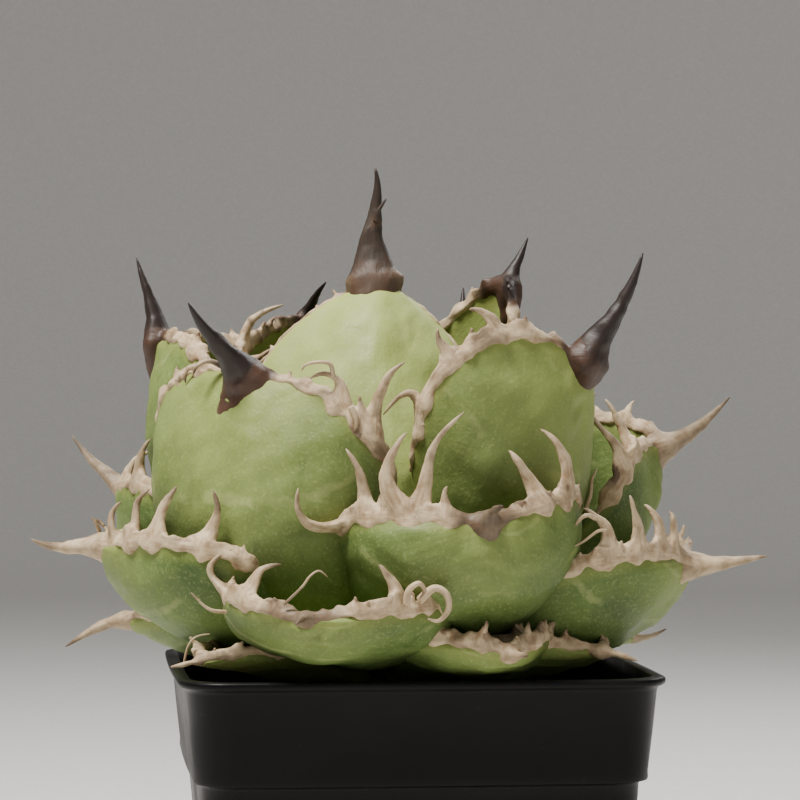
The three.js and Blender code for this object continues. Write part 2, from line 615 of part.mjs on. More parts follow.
function stemRadius(z) {
  const above = STEM_PROFILE.findIndex(([, height]) => height >= z);
  const [r0, z0] = STEM_PROFILE[Math.max(above - 1, 0)];
  const [r1, z1] = STEM_PROFILE[Math.max(above, 1)];
  return mix(r0, r1, (z - z0) / (z1 - z0));
}

// A ring of points round the middle, which starts where the pot's rings start.
function circle(radius, z, count) {
  const start = THREE.MathUtils.degToRad(POT_TURN) - Math.PI / 4;
  return Array.from({ length: count }, (_, k) => {
    const angle = start + (2 * Math.PI * (k + 0.5)) / count;
    return vec(radius * Math.cos(angle), radius * Math.sin(angle), z);
  });
}

function soilSolid() {
  const floor = POT_FLOOR + CLEARANCE;
  const shoulder = COLLAR_FOOT - 1;
  const outer = potRing(potRoom(shoulder), SOIL_TOP);
  const rings = [potRing(potRoom(floor), floor), potRing(potRoom(shoulder), shoulder), outer];
  const hole = circle(stemRadius(SOIL_TOP) + CLEARANCE, SOIL_TOP + SOIL_SWELL, outer.length);
  [0.3, 0.62].forEach((share) => {
    rings.push(outer.map((p, i) => {
      const q = p.clone().lerp(hole[i], share);
      q.z = SOIL_TOP + SOIL_SWELL * share + draw(-SOIL_ROUGH, SOIL_ROUGH);
      return q;
    }));
  });
  rings.push(hole);
  rings.push(circle(stemRadius(STEM_FOOT + 6) + CLEARANCE, STEM_FOOT - CLEARANCE, outer.length));
  return loft(rings);
}

function stemSolid(grow = 0) {
  return loft(STEM_PROFILE.map(([radius, z], i) => {
    const end = i === STEM_PROFILE.length - 1 ? grow : 0;
    return circle(radius + grow, z + end, STEM_SIDES);
  }));
}

// How far a ring at a share of a grown piece's length is moved along it: out at both ends.
const endShift = (share, grow) => (share === 0 ? -grow : share === 1 ? grow : 0);

function budSolid(grow = 0) {
  const sides = 10;
  return loft([0, 0.2, 0.45, 0.7, 0.88, 1].map((share) => {
    const swell = (1 - share) ** 0.55 * (1 - 0.3 * share);
    const radius = mix(BUD_TIP_RADIUS, BUD_RADIUS, swell) * (share === 0 ? 0.8 : 1);
    const z = mix(BUD_FOOT, BUD_TOP, share) + endShift(share, grow);
    return Array.from({ length: sides }, (_, k) => {
      const angle = (2 * Math.PI * k) / sides;
      const r = radius * (1 + BUD_SEAM * Math.cos(angle - share * BUD_SEAM_TURN)) + grow;
      return vec(r * Math.cos(angle) + BUD_ASIDE * share, r * Math.sin(angle) + BUD_LEAN * share ** 1.5, z);
    });
  }));
}

function budSpineSolid(grow = 0) {
  return loft([0, 0.3, 0.65, 1].map((share) => {
    const radius = mix(BUD_TIP_RADIUS, TIP_RADIUS, share) + grow;
    const z = BUD_TOP + CLEARANCE + BUD_SPINE_LONG * share + endShift(share, grow);
    return circle(radius, z, 6).map((p) => p.add(vec(BUD_ASIDE, BUD_LEAN + 1.2 * share, 0)));
  }));
}

// Materials

const paint = (color, roughness) => new THREE.MeshStandardMaterial({ color, roughness, metalness: 0 });
const potMaterial = paint("#17181a", 0.45);
const soilMaterial = paint("#6f6353", 0.95);
const stemMaterial = paint("#8c8460", 0.8);
const leafMaterial = paint("#82955a", 0.6);
const youngLeafMaterial = paint("#a9b679", 0.6);
const hornMaterial = paint("#a58f78", 0.7);
const darkHornMaterial = paint("#4a352b", 0.55);

// Assembly

const group = new THREE.Group();
const pot = potSolid();
const soil = soilSolid();
const stem = stemSolid();
group.add(meshOf("pot", pot, potMaterial));
group.add(meshOf("soil", soil, soilMaterial));
group.add(meshOf("stem", stem, stemMaterial));
group.add(meshOf("bud", budSolid(), youngLeafMaterial));
group.add(meshOf("bud_spine", budSpineSolid(), darkHornMaterial));

// The leaves go in from the youngest to the oldest, and each is trimmed by those already in, so
// that leaves which press on each other keep a small gap and the dent is on the older one's
// inner face.
const placed = [stemSolid(CLEARANCE), budSolid(CLEARANCE), budSpineSolid(CLEARANCE), pot];
function trimmed(solid, others) {
  return largest(others.filter((other) => boxesMeet(solid, other))
    .reduce((left, other) => left.subtract(other), solid));
}
LEAVES.forEach((leaf) => {
  const green = trimmed(leafSolid(leaf), [...placed, hornOf(leaf, CLEARANCE, BAND_REACH)]);
  const horn = trimmed(hornOf(leaf), placed);
  placed.push(leafSolid(leaf, CLEARANCE), hornOf(leaf, HORN_ROOM, 0));
  group.add(meshOf("leaf_" + leaf.name, green, leaf.name === "02" ? youngLeafMaterial : leafMaterial));
  group.add(meshOf("horn_" + leaf.name, horn, hornMaterial));
});

export default group;
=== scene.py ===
import math

import bmesh
import bpy
import numpy as np
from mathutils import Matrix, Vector
from mathutils.bvhtree import BVHTree
from mathutils.kdtree import KDTree


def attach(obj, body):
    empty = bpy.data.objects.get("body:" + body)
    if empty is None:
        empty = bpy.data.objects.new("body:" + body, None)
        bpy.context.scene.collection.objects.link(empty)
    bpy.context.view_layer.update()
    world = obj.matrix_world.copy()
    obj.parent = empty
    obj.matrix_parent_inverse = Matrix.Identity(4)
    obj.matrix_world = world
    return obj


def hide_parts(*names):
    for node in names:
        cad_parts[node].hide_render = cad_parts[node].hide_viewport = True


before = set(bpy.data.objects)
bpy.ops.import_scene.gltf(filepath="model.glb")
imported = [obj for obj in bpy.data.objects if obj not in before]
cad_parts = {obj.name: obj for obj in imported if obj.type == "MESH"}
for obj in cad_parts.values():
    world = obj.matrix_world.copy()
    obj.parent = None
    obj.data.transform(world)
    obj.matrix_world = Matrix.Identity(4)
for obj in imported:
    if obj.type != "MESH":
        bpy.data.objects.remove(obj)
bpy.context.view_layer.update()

MM = 0.001

# Camera, as the photograph was taken: level, straight from the front
CAMERA_ASIDE = -0.7
CAMERA_DISTANCE = 750.0
CAMERA_HEIGHT = 159.5
CAMERA_LENS = 148.7
SENSOR_WIDTH = 36.0
CAMERA_NEAR = 0.05  # metres

# Pot, soil and stem, as in the solids
POT_HEIGHT = 100.0
POT_SIDE = 105.0
POT_TURN = 6.0
POT_BOW = 0.4
POT_FOOT_SIDE = 80.0
POT_WALL = 1.2
POT_FLOOR = 2.2
RIM_LIP = 1.5
COLLAR_FOOT = 77.5
COLLAR_MIDDLE = 88.0
POT_CORNER = 11.0
COLLAR_TOP_INSET = 1.6
COLLAR_FOOT_INSET = 3.4
BODY_INSET = 5.2
DRAIN_HOLES = 5
DRAIN_RADIUS = 4.5
DRAIN_RING = 26.0
SOIL_TOP = 88.0
SOIL_SWELL = 1.6
SOIL_RIPPLE = 0.8
SOIL_GAP = 0.45
GRAIN_SIZE = 1.0
GRAIN_DENSITY = 320000.0  # grains in a square metre
GRAIN_REACH = 0.93  # share of the way from the wall to the stem that grains cover
STEM_HOLE = 12.2
STEM_FOOT = 70.0
STEM_PROFILE = ((8, STEM_FOOT), (11.5, 76), (12, 96), (10.5, 106), (8.5, 115), (6, 120), (2.5, 122))
STEM_INSET = 0.35
SCAR_DEPTH = 0.28
SCAR_PITCH = 1.9

# Bud: the youngest leaves, still rolled in one cone whose seam winds round it
BUD_FOOT = 122.6
BUD_TOP = 166.0
BUD_LEAN = 4.0
BUD_ASIDE = -2.0
BUD_RADIUS = 7.2
BUD_TIP_RADIUS = 1.5
BUD_WINDING = 2.2
BUD_SPINE_LENGTH = 10.3
BUD_SPINE_STEPS = 24

# What all leaves share: lengths in millimetres, places as shares of the way from foot to apex
LEAF_EDGE = 1.7  # thickness at the margin
LEAF_THIN = 2.4  # thickness of the middle at the foot and at the apex
LEAF_START = 0.004
BELLY = 0.95  # how squarely a leaf's section turns up from its keel to its rims
GREEN_END = 0.965
GREEN_STEPS = (80, 60, 30)  # along the leaf, across its outer face and across its inner face
SMALL_GREEN_STEPS = (40, 30, 22)
PRESS_GAP = 0.3
PRESS_LEAST = 0.8
PRESS_REACH = 14.0
SEED = 11

# The horn of all leaves
SMALL_HORN = 0.7  # size of the horn on a small leaf
BAND_START = 0.3
BAND_END = 0.998
BAND_WIDTH = 3.0
BAND_LEAST = 0.5
BAND_STEPS = 130
SMALL_BAND_STEPS = 60
LOBE_TOOTH = 9.0  # length of a tooth with a full lobe of the band under it
LOBE_REACH = 2.6
TOOTH_SINK = 0.4
TOOTH_BEND = 0.3  # how far out of the margin and along the tooth its bend lies, in its lengths
TOOTH_HALF = (0.75, 0.1, 2.0)  # half width: the least, what each millimetre of length adds, the most
TOOTH_SIDES = 10
TOOTH_STEPS = 16
TOOTH_END = 9  # first step of the thin end, which is added again after the fusing
DENTICLE_PITCH = 0.045
DENTICLE_ROOM = 0.035
DENTICLE_CHANCE = 0.3
DENTICLE_LENGTHS = (2.0, 3.6)
CAP_STEPS = (20, 25, 17)
SPINE_STEPS = 26
SPINE_SIDES = 16
SPINE_END = 22
SPINE_ROOT_STEPS = 10
SPINE_SINK = 1.0
SPINE_SOFTENING = 6
FLARE_FADE = 0.26
TIP_START = 0.6
TIP_RINGS = 5
FUSING_CELL = 0.36
COARSE_CELL = 0.5
SOFT_ROUNDS = 3
ROOT_SOFT_ROUNDS = 30
HORN_SHARE = 0.3  # share of the fused faces that thinning out keeps

# Studio, in metres and watts
FLOOR_FLAT = 1.4
FLOOR_RADIUS = 2.0
FLOOR_CURVE = 0.8
FLOOR_TOP = 2.4
FLOOR_DROP = 0.0003
LAMP_AIM = (0, 0, 0.13)
LAMPS = (
    ("key lamp", (-0.36, -0.22, 1.1), 0.35, 27.0, (1, 0.97, 0.92)),
    ("fill lamp", (0.7, -1.1, 0.45), 0.9, 1.8, (1, 1, 1)),
    ("back lamp", (0.4, 0.7, 0.8), 0.5, 6.0, (1, 1, 1)),
)
AIR_COLOUR = (0.9, 0.93, 1.0, 1)
AIR_STRENGTH = 0.2


def mix(a, b, k):
    return a + (b - a) * k


def unit(v):
    return v / np.maximum(np.linalg.norm(v, axis=-1, keepdims=True), 1e-9)


def dot(a, b):
    return np.sum(a * b, axis=-1)


def ease(low, high, x):
    k = np.clip((x - low) / (high - low), 0, 1)
    return k * k * (3 - 2 * k)


def square_to(ahead, axis):
    """The axis turned square to each of the ways ahead."""
    return unit(axis - ahead * dot(ahead, axis)[:, None])


def lengths_along(path):
    return np.concatenate(((0,), np.cumsum(np.linalg.norm(np.diff(path, axis=0), axis=1))))


def cubic(points, t):
    points = np.asarray(points, float)
    t = np.asarray(t, float)[..., None]
    k = 1 - t
    return k**3 * points[0] + 3 * k * k * t * points[1] + 3 * k * t * t * points[2] + t**3 * points[3]


def quadratic(a, b, c, t):
    t = np.asarray(t, float)[..., None]
    return (1 - t) ** 2 * a + 2 * t * (1 - t) * b + t * t * c


def ripple(points, size, seed, waves=8):
    """Smooth noise over points in space, about -1 to 1, with lumps of roughly the given size."""
    rng = np.random.default_rng(seed)
    total = np.zeros(points.shape[:-1])
    for _ in range(waves):
        way = unit(rng.normal(size=3))
        pitch = 2 * math.pi / size * rng.uniform(0.5, 1.5)
        total += np.sin(points @ way * pitch + rng.uniform(0, 2 * math.pi))
    return total / math.sqrt(waves)


def wave(length, size, seed, waves=6):
    """The same along a line."""
    rng = np.random.default_rng(seed)
    total = np.zeros_like(length)
    for _ in range(waves):
        pitch = 2 * math.pi / size * rng.uniform(0.5, 1.6)
        total += np.sin(length * pitch + rng.uniform(0, 2 * math.pi))
    return total / math.sqrt(waves)


class Leaf:
    """One leaf, in the plane of its azimuth: 0 is the front, and it grows to the right.

    keel: four points (out, up) from the foot to the apex. rim: three points (out, aside, up) of
    the margin, which ends at the apex; rim_left is the left margin where it differs. spine: three
    points from the apex to the tip. shaft: half the spine's width, and flare: what its root adds.
    sway: how far aside the apex lies. lobe: where the cap of horn begins. band: the size of the
    horn on the margins. A tooth is (place, right, back, up) from its root to its tip, then the
    bend it passes, if it has one. rule: the count and the length of teeth that no one has placed.
    """

    def __init__(self, name, azimuth, thick, keel, rim, spine, shaft, flare, rim_left=None, sway=0.0,
                 lobe=0.9, band=1.0, band_start=BAND_START, small=False, rule=None,
                 teeth_left=(), teeth_right=()):
        self.name = name
        self.number = int(name)
        self.thick = thick
        self.keel = keel
        self.rims = {-1: rim_left or rim, 1: rim}
        self.spine = spine
        self.shaft = shaft
        self.flare = flare
        self.sway = sway
        self.lobe = lobe
        self.band = band
        self.band_start = band_start
        self.small = small
        self.rule = rule
        self.teeth = {-1: list(teeth_left), 1: list(teeth_right)}
        angle = math.radians(azimuth)
        self.out = np.array((math.sin(angle), -math.cos(angle), 0.0))
        self.aside = np.array((math.cos(angle), math.sin(angle), 0.0))

    def place(self, points):
        points = np.asarray(points, float)
        up = np.array((0.0, 0.0, 1.0))
        return points[..., :1] * self.out + points[..., 1:2] * self.aside + points[..., 2:3] * up

    def face(self, t, u):
        """The outer face: t from the foot to the apex, u from the left margin (-1) to the right."""
        t, u = np.broadcast_arrays(np.asarray(t, float), np.asarray(u, float))
        flat = cubic(self.keel, t)
        keel = np.stack((flat[..., 0], self.sway * t * t, flat[..., 1]), -1)
        apex = (self.keel[3][0], self.sway, self.keel[3][1])
        rims = {}
        for side in (-1, 1):
            controls = [(out, side * aside, up) for out, aside, up in self.rims[side]]
            rims[side] = cubic(controls + [apex], t)
        rim = np.where((u < 0)[..., None], rims[-1], rims[1])
        bend = np.stack((keel[..., 0], mix(keel[..., 1], rim[..., 1], BELLY), keel[..., 2]), -1)
        return self.place(quadratic(keel, bend, rim, np.abs(u)))

    def frame(self, t, u):
        """The unit vectors on that face: along to the apex, across to the right, and inward."""
        step = 0.004
        along = unit(self.face(np.minimum(t + step, 1), u) - self.face(np.asarray(t) - step, u))
        left, right = np.maximum(u - step, -1), np.minimum(u + step, 1)
        across = unit(self.face(t, right) - self.face(t, left))
        return along, across, unit(np.cross(along, across))

    def thickness(self, t, u):
        middle = LEAF_THIN + (self.thick - LEAF_THIN) * np.sin(np.pi * np.asarray(t) ** 0.8)
        return LEAF_EDGE + (middle - LEAF_EDGE) * (1 - np.abs(u) ** 2.2)

    def margin(self, side, t):
        """The middle of the margin's edge: its point, along, out of the leaf, and inward."""
        along, _, inward = self.frame(t, float(side))
        outward = unit(np.cross(inward, along) * side)
        return self.face(t, float(side)) + inward * LEAF_EDGE / 2, along, outward, inward


# From the youngest leaf to the oldest
LEAVES = [
    Leaf(
        name="01", azimuth=125, thick=5, shaft=1.4, flare=3,
        keel=((9, 118), (26, 114), (40, 150), (30, 186)),
        rim=((8, 5, 121), (20, 44, 158), (26, 18, 184)),
        rim_left=((8, 5, 121), (20, 22, 158), (28, 8, 184)),
        spine=((30.5, 0, 190), (33.5, 0, 193), (35.5, 0, 197.3)),
        teeth_right=((0.62, -1, 0, 3.5),),
    ),
    Leaf(
        name="02", azimuth=-12, thick=4.8, sway=-6, band=0.45, shaft=1.9, flare=6.2,
        keel=((11, 116), (42, 108), (34, 168), (3, 186)),
        rim=((8, 6, 119), (2, 34, 146), (0, 12, 183)),
        rim_left=((8, 7, 119), (22, 56, 152), (8, 24, 182)),
        spine=((3, -8, 196), (2, -4.5, 204), (3, -5.8, 212)),
    ),
    Leaf(
        name="03", azimuth=-140, thick=4.4, shaft=1.3, flare=2.4,
        keel=((11, 113.5), (34, 108), (50, 140), (36, 178)),
        rim=((9, 7, 116.5), (24, 54, 162), (31, 22, 178)),
        spine=((34, 0, 182), (31, 0, 184.5), (28, 0, 187)),
        teeth_left=((0.5, 2, 3, 5), (0.65, 2, 1, 5), (0.8, 2, 0, 3)),
        teeth_right=(
            (0.5, -4, 0, 10, -4, -1, 5),
            (0.57, 9, -4, 3, 3, -2, 0),
            (0.62, 9.5, 0, 10.5, -1.5, 0, 9),
        ),
    ),
    Leaf(
        name="04", azimuth=60, thick=5.4, band_start=0.22, shaft=2.7, flare=5,
        keel=((12, 111.5), (42, 100), (47, 140), (46.5, 168)),
        rim=((10, 7, 114.5), (24, 30, 158), (42, 14, 172)),
        rim_left=((10, 7, 114.5), (18, 47, 166), (38, 27, 184)),
        spine=((50, 0, 174), (56, 2, 181), (58.5, 3.7, 191.7)),
        teeth_left=(
            (0.3, -7.5, 0, 4.5, 1, 0, 15),
            (0.52, -3.5, 0, 7),
            (0.6, 0, 0, 4),
            (0.7, -6.7, 0, 5.5, -2, 0, 6.5),
            (0.8, -0.5, 0, 4),
        ),
        teeth_right=((0.45, 0, 3, 5), (0.62, 1, 1, 4), (0.78, 1, 2, 5)),
    ),
    Leaf(
        name="05", azimuth=-48, thick=5.6, lobe=0.86, shaft=3, flare=3.6,
        keel=((12, 109.5), (52, 94), (64, 135), (46, 165)),
        rim=((10, 7, 112.5), (30, 44, 146), (40, 25, 164)),
        rim_left=((10, 7, 112.5), (44, 68, 150), (46, 30, 172)),
        spine=((50, 0, 168), (57, 0, 173.5), (62, 0, 180.3)),
        teeth_left=((0.5, -1.5, 0, -4), (0.67, 0.5, 0, 4), (0.82, -4, 0, -3, -4, 0, 3)),
        teeth_right=((0.5, 6.5, 0, 17, 0.5, 0, 9), (0.57, 0, 0, 6), (0.66, -6.5, 0, 6, 2, 0, 9)),
    ),
    Leaf(
        name="06", azimuth=165, thick=5.4, shaft=2.1, flare=3.2, rule=(4, 8),
        keel=((12, 108), (48, 98), (60, 136), (50, 166)),
        rim=((10, 7, 111), (34, 52, 156), (46, 22, 170)),
        spine=((53, 0, 173), (58, 1, 179), (61, 1, 187)),
    ),
    Leaf(
        name="07", azimuth=17, thick=5.6, band_start=0.26, shaft=1.6, flare=2.6,
        keel=((12, 107), (46, 104), (66, 112), (60, 134)),
        rim=((10, 9, 109.5), (36, 46, 150), (60, 20, 137)),
        rim_left=((10, 9, 109.5), (38, 44, 144), (60, 18, 133)),
        spine=((62, 0, 135.5), (65, 0.5, 137), (67.5, 1, 137.5)),
        teeth_left=(
            (0.4, -9.4, -6, 7.6, -10, -5.5, -3.5),
            (0.53, -3.2, 0, 14.3, 0, 0, 7),
            (0.6, 0.8, 0, 5),
            (0.69, 1.5, 0, 17.5, -8, 0, 12),
            (0.74, 9.4, 1.5, 22, 0, 1, 9),
            (0.84, 0.4, 0, 7),
        ),
        teeth_right=((0.62, -5.8, 0, 14.6, 2.5, 0, 11), (0.76, -8, 0, 11.3, -3, 0, 8.5)),
    ),
    Leaf(
        name="08", azimuth=-106, thick=4.8, shaft=2, flare=3.6,
        keel=((12, 104.5), (46, 96), (66, 130), (59, 173)),
        rim=((10, 7, 107.5), (26, 48, 166), (46, 20, 177)),
        spine=((59.5, 0, 179), (62, 0, 185), (64.8, -1, 192.6)),
        teeth_left=((0.4, -1, 3, 5), (0.56, 0, 2, 6), (0.72, -1, 2, 4)),
        teeth_right=((0.5, 1, -1, 4), (0.66, 1, 0, 4)),
    ),
    Leaf(
        name="09", azimuth=108, thick=4.8, shaft=1.9, flare=3,
        keel=((12, 103.5), (40, 97), (62, 120), (64, 149)),
        rim=((10, 7, 106.5), (34, 46, 160), (60, 18, 160)),
        rim_left=((10, 7, 106.5), (60, 32, 146), (42, 15, 150)),
        spine=((69, 0, 150), (75, 0, 154.5), (81, 1, 160.2)),
        teeth_left=(
            (0.36, 1, 0, 5),
            (0.5, -8.5, 0, 13, -1, 0, 8),
            (0.7, -7, 0, 11.5, -2.5, 0, 7),
        ),
        teeth_right=((0.5, -1, 2, 5), (0.66, 1, 1, 6), (0.8, 2, 1, 5)),
    ),
    Leaf(
        name="10", azimuth=-17, thick=4.8, shaft=1.3, flare=2.2,
        keel=((12, 99.5), (40, 101), (68, 101.5), (68, 114)),
        rim=((10, 7, 101.5), (40, 38, 121.5), (68, 20, 115)),
        rim_left=((10, 7, 101.5), (43, 44, 126), (67, 19, 116)),
        spine=((70, 0, 114.5), (72.5, 0, 114.5), (75, 0, 113.5)),
        teeth_left=(
            (0.36, -8.5, -1, 1.5, -4, -1, 0),
            (0.5, 1, 0, 9.3, -8.5, 0, 5),
            (0.6, 0.3, 0, 4),
            (0.7, 7.7, 0, 7.7, 1, 0, 6.5),
        ),
        teeth_right=(
            (0.42, -4, 0, 4.5, 3, 0, 7),
            (0.54, 1, 0, 4),
            (0.66, -4.9, 0, 9, -1, 0, 7.5),
            (0.83, 0, 0, 3.5),
        ),
    ),
    Leaf(
        name="11", azimuth=-160, thick=4.8, shaft=1.9, flare=3, rule=(4, 9),
        keel=((12, 102), (44, 96), (66, 110), (64, 137)),
        rim=((10, 7, 105), (36, 46, 146), (62, 20, 142)),
        spine=((69, 0, 139), (74, -1, 143), (79, -2, 149)),
    ),
    Leaf(
        name="12", azimuth=72, thick=4.8, shaft=2, flare=3.2,
        keel=((12, 100.5), (40, 98), (62, 104), (66, 123)),
        rim=((10, 7, 103), (40, 50, 124), (66, 18, 130)),
        spine=((72, 0, 123), (77, 0, 124), (83.7, 1, 125.3)),
        teeth_left=(
            (0.58, -5.4, 0, 10.9, 2.5, 0, 9),
            (0.7, -2.4, 0, 12.7, 1.5, 0, 7),
            (0.79, -3.2, 0, 10.6, 2.2, 0, 8),
            (0.9, -2, 0, 10, 1.2, 0, 7),
        ),
        teeth_right=((0.45, 0, 2, 5), (0.6, 0, 1, 6), (0.75, 1, 1, 5)),
    ),
    Leaf(
        name="13", azimuth=-78, thick=4.8, lobe=0.88, shaft=2, flare=3.2,
        keel=((12, 101), (40, 98), (66, 106), (68, 127)),
        rim=((10, 7, 104), (40, 56, 131), (66, 26, 130)),
        rim_left=((10, 7, 104), (36, 46, 132), (64, 22, 130)),
        spine=((73, 0, 127), (79, 0, 125.5), (84.3, 0, 128.7)),
        teeth_left=((0.5, 0, 2, 5), (0.7, -1, 1, 6), (0.94, -3, 0, 5)),
        teeth_right=(
            (0.4, 2, 0, 5),
            (0.53, 3.3, 0, 12.4, 4, 0, 6),
            (0.7, 5.2, 0, 11.8, 0.5, 0, 9),
            (0.82, 4.6, 0, 11.4, -0.5, 0, 6),
            (0.93, 1.5, 0, 9, -2.5, 0, 5),
        ),
    ),
    Leaf(
        name="14", azimuth=143, thick=4.8, shaft=1.9, flare=3, rule=(4, 8),
        keel=((12, 99.5), (42, 96), (66, 104), (68, 127)),
        rim=((10, 7, 102.5), (38, 46, 132), (66, 20, 131)),
        spine=((73, 0, 128), (78, 1, 131), (83, 2, 136)),
    ),
    Leaf(
        name="15", azimuth=22, thick=5, shaft=1.2, flare=2, rule=(4, 5),
        keel=((13, 93.5), (34, 97), (52, 100), (60, 106)),
        rim=((11, 6, 95.5), (34, 28, 112), (54, 16, 110)),
        spine=((63, 0, 106.5), (66, 0, 106), (69, 0, 106.5)),
    ),
    Leaf(
        name="16", azimuth=-114, thick=4.8, shaft=1.8, flare=3,
        keel=((12, 100), (44, 94), (72, 108), (71, 138)),
        rim=((10, 7, 103), (36, 46, 146), (68, 22, 142)),
        spine=((76, 0, 141), (81, 0, 145), (86, 0, 151)),
        teeth_left=((0.45, -2, 2, 5), (0.6, -1, 3, 7), (0.75, -2, 2, 5)),
        teeth_right=((0.5, -1, 0, 6), (0.62, 3.4, 0, 10.2, -1.5, 0, 6), (0.75, 6, 0, 7, 0, 0, 5)),
    ),
    Leaf(
        name="17", azimuth=-46, thick=4, small=True, shaft=0.8, flare=1.4,
        keel=((13, 92.5), (36, 98), (52, 101), (61, 103.4)),
        rim=((11, 5, 94.5), (34, 20, 107), (56, 11, 106)),
        spine=((63, -0.5, 103.4), (65, -1, 102.8), (67, -2, 102.6)),
        teeth_left=((0.6, -1, 0, 3.5), (0.8, -2, -1, 3)),
        teeth_right=((0.6, 0, -1, 3), (0.78, 1, -1, 2.6)),
    ),
    Leaf(
        name="18", azimuth=176, thick=4.4, shaft=1.5, flare=2.6, rule=(4, 6),
        keel=((13, 93), (38, 97), (58, 101), (63, 114)),
        rim=((11, 7, 95), (36, 34, 118), (60, 17, 118)),
        spine=((67, 0, 115), (71, 0, 115.5), (75, 0, 118)),
    ),
    Leaf(
        name="19", azimuth=50, thick=4.5, small=True, shaft=1.2, flare=2,
        keel=((13, 92), (34, 98), (50, 101), (56, 105)),
        rim=((11, 6, 94), (30, 30, 111), (50, 16, 108)),
        spine=((59, 0, 105.3), (62, 0, 104.6), (65.5, 0, 103.6)),
        teeth_left=((0.64, -1.7, 0, 7.9, 0, 0, 4), (0.74, 1, 0, 4), (0.84, 0, 0, 3.6)),
        teeth_right=((0.6, 1, 1, 4), (0.78, 1.5, 0, 3.5)),
    ),
    Leaf(
        name="20", azimuth=-95, thick=5, small=True, shaft=1.6, flare=2.6,
        keel=((13, 92), (36, 98), (54, 101.5), (63, 109)),
        rim=((11, 6, 94), (34, 30, 113), (56, 16, 112)),
        spine=((67, 0, 110), (72, 0, 106.5), (77.6, 0, 103)),
        teeth_left=((0.6, -1, 1, 4), (0.9, -1.5, 0, 5, -4, 0, 2.5)),
        teeth_right=((0.6, 1, 0, 4), (0.78, 0, 0, 3.6)),
    ),
    Leaf(
        name="21", azimuth=110, thick=4.5, small=True, shaft=0.9, flare=1.6,
        keel=((13, 92), (34, 98), (46, 101), (57, 104)),
        rim=((11, 6, 94), (30, 24, 109), (50, 12, 107)),
        spine=((60, 0, 104), (62.5, 0, 104.4), (65.5, 0, 106)),
        teeth_left=((0.7, 1, 0, 3.5),),
        teeth_right=((0.55, 0, 1, 3.5), (0.75, 1, 1, 3)),
    ),
    Leaf(
        name="22", azimuth=-150, thick=5, small=True, shaft=1.4, flare=2.4, rule=(4, 5),
        keel=((13, 92), (36, 98), (54, 101), (62, 109)),
        rim=((11, 6, 94), (34, 30, 113), (56, 16, 112)),
        spine=((65, 0, 110), (69, 0, 109.5), (73, 0, 111)),
    ),
]

# How dark each leaf's end spine still is: it bleaches with age
SPINE_DARKNESS = {
    "01": 0.9, "02": 0.7, "03": 0.8, "04": 1.0, "05": 1.0, "06": 0.8, "07": 0.55, "08": 0.95,
    "09": 0.4, "10": 0.5, "11": 0.6, "12": 0.15, "13": 0.12, "14": 0.4, "15": 0.25, "16": 0.4,
    "17": 0.1, "18": 0.15, "19": 0.05, "20": 0.25, "21": 0.3, "22": 0.15,
}

# The seeded draw, the same as in the solids
DRAW_STEP = 1103515245.0
DRAW_ADDED = 12345.0
DRAW_RANGE = 2147483648.0
draw_state = float(SEED)


def draw(low, high):
    """The next number of the seeded draw, between two limits."""
    global draw_state
    draw_state = math.fmod(draw_state * DRAW_STEP + DRAW_ADDED, DRAW_RANGE)
    return mix(low, high, draw_state / DRAW_RANGE)


def ruled_teeth(count, long):
    """Teeth of a margin that the photograph doesn't show: so many, about so long."""
    teeth = []
    for i in range(count):
        place = mix(0.36, 0.86, i / (count - 1)) + draw(-0.02, 0.02)
        teeth.append((place, draw(-2.5, 2.5), draw(-2.5, 2.5), long * draw(0.6, 1.25)))
    return teeth


for leaf in LEAVES:
    if leaf.rule:
        for side in (-1, 1):
            leaf.teeth[side] = ruled_teeth(*leaf.rule)


# Meshes


def loft(rings):
    """Points and faces of a closed solid through rings of the same count, shape (rings, count, 3)."""
    rings = np.asarray(rings, float)
    many, count = rings.shape[:2]
    index = np.arange(many * count).reshape(many, count)
    ahead = np.roll(index, -1, axis=1)
    quads = np.stack((index[:-1], ahead[:-1], ahead[1:], index[1:]), -1).reshape(-1, 4)
    faces = quads.tolist() + [index[0][::-1].tolist(), index[-1].tolist()]
    return rings.reshape(-1, 3), faces


def joined(parts):
    """Several solids as one list of points and one of faces."""
    points, faces, start = [], [], 0
    for p, f in parts:
        points.append(p)
        faces.extend([[i + start for i in face] for face in f])
        start += len(p)
    return np.concatenate(points), faces


def mesh_object(name, points, faces, smooth=True):
    """An object at the origin from points in millimetres, with its faces turned outwards."""
    mesh = bpy.data.meshes.new(name)
    mesh.from_pydata((np.asarray(points) * MM).tolist(), [], faces)
    work = bmesh.new()
    work.from_mesh(mesh)
    bmesh.ops.recalc_face_normals(work, faces=work.faces)
    work.to_mesh(mesh)
    work.free()
    mesh.polygons.foreach_set("use_smooth", np.full(len(mesh.polygons), smooth))
    obj = bpy.data.objects.new(name, mesh)
    bpy.context.scene.collection.objects.link(obj)
    return obj


def baked(obj):
    """The object with its modifiers applied, as a plain mesh under the same name."""
    graph = bpy.context.evaluated_depsgraph_get()
    mesh = bpy.data.meshes.new_from_object(obj.evaluated_get(graph), depsgraph=graph)
    name = obj.name
    old = obj.data
    obj.modifiers.clear()
    obj.data = mesh
    bpy.data.meshes.remove(old)
    mesh.name = name
    return obj


def finish_piece(obj, material, slot, *nodes):
    """Gives a piece its material and its body, and hides the nodes of the frame that it replaces; the
    slot is not used.
    """
    obj.data.materials.clear()
    obj.data.materials.append(material)
    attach(obj, "root")
    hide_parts(*nodes)


def shade_smooth(mesh):
    mesh.polygons.foreach_set("use_smooth", np.ones(len(mesh.polygons), bool))


def points_of(mesh):
    flat = np.empty(len(mesh.vertices) * 3)
    mesh.vertices.foreach_get("co", flat)
    return flat.reshape(-1, 3) / MM


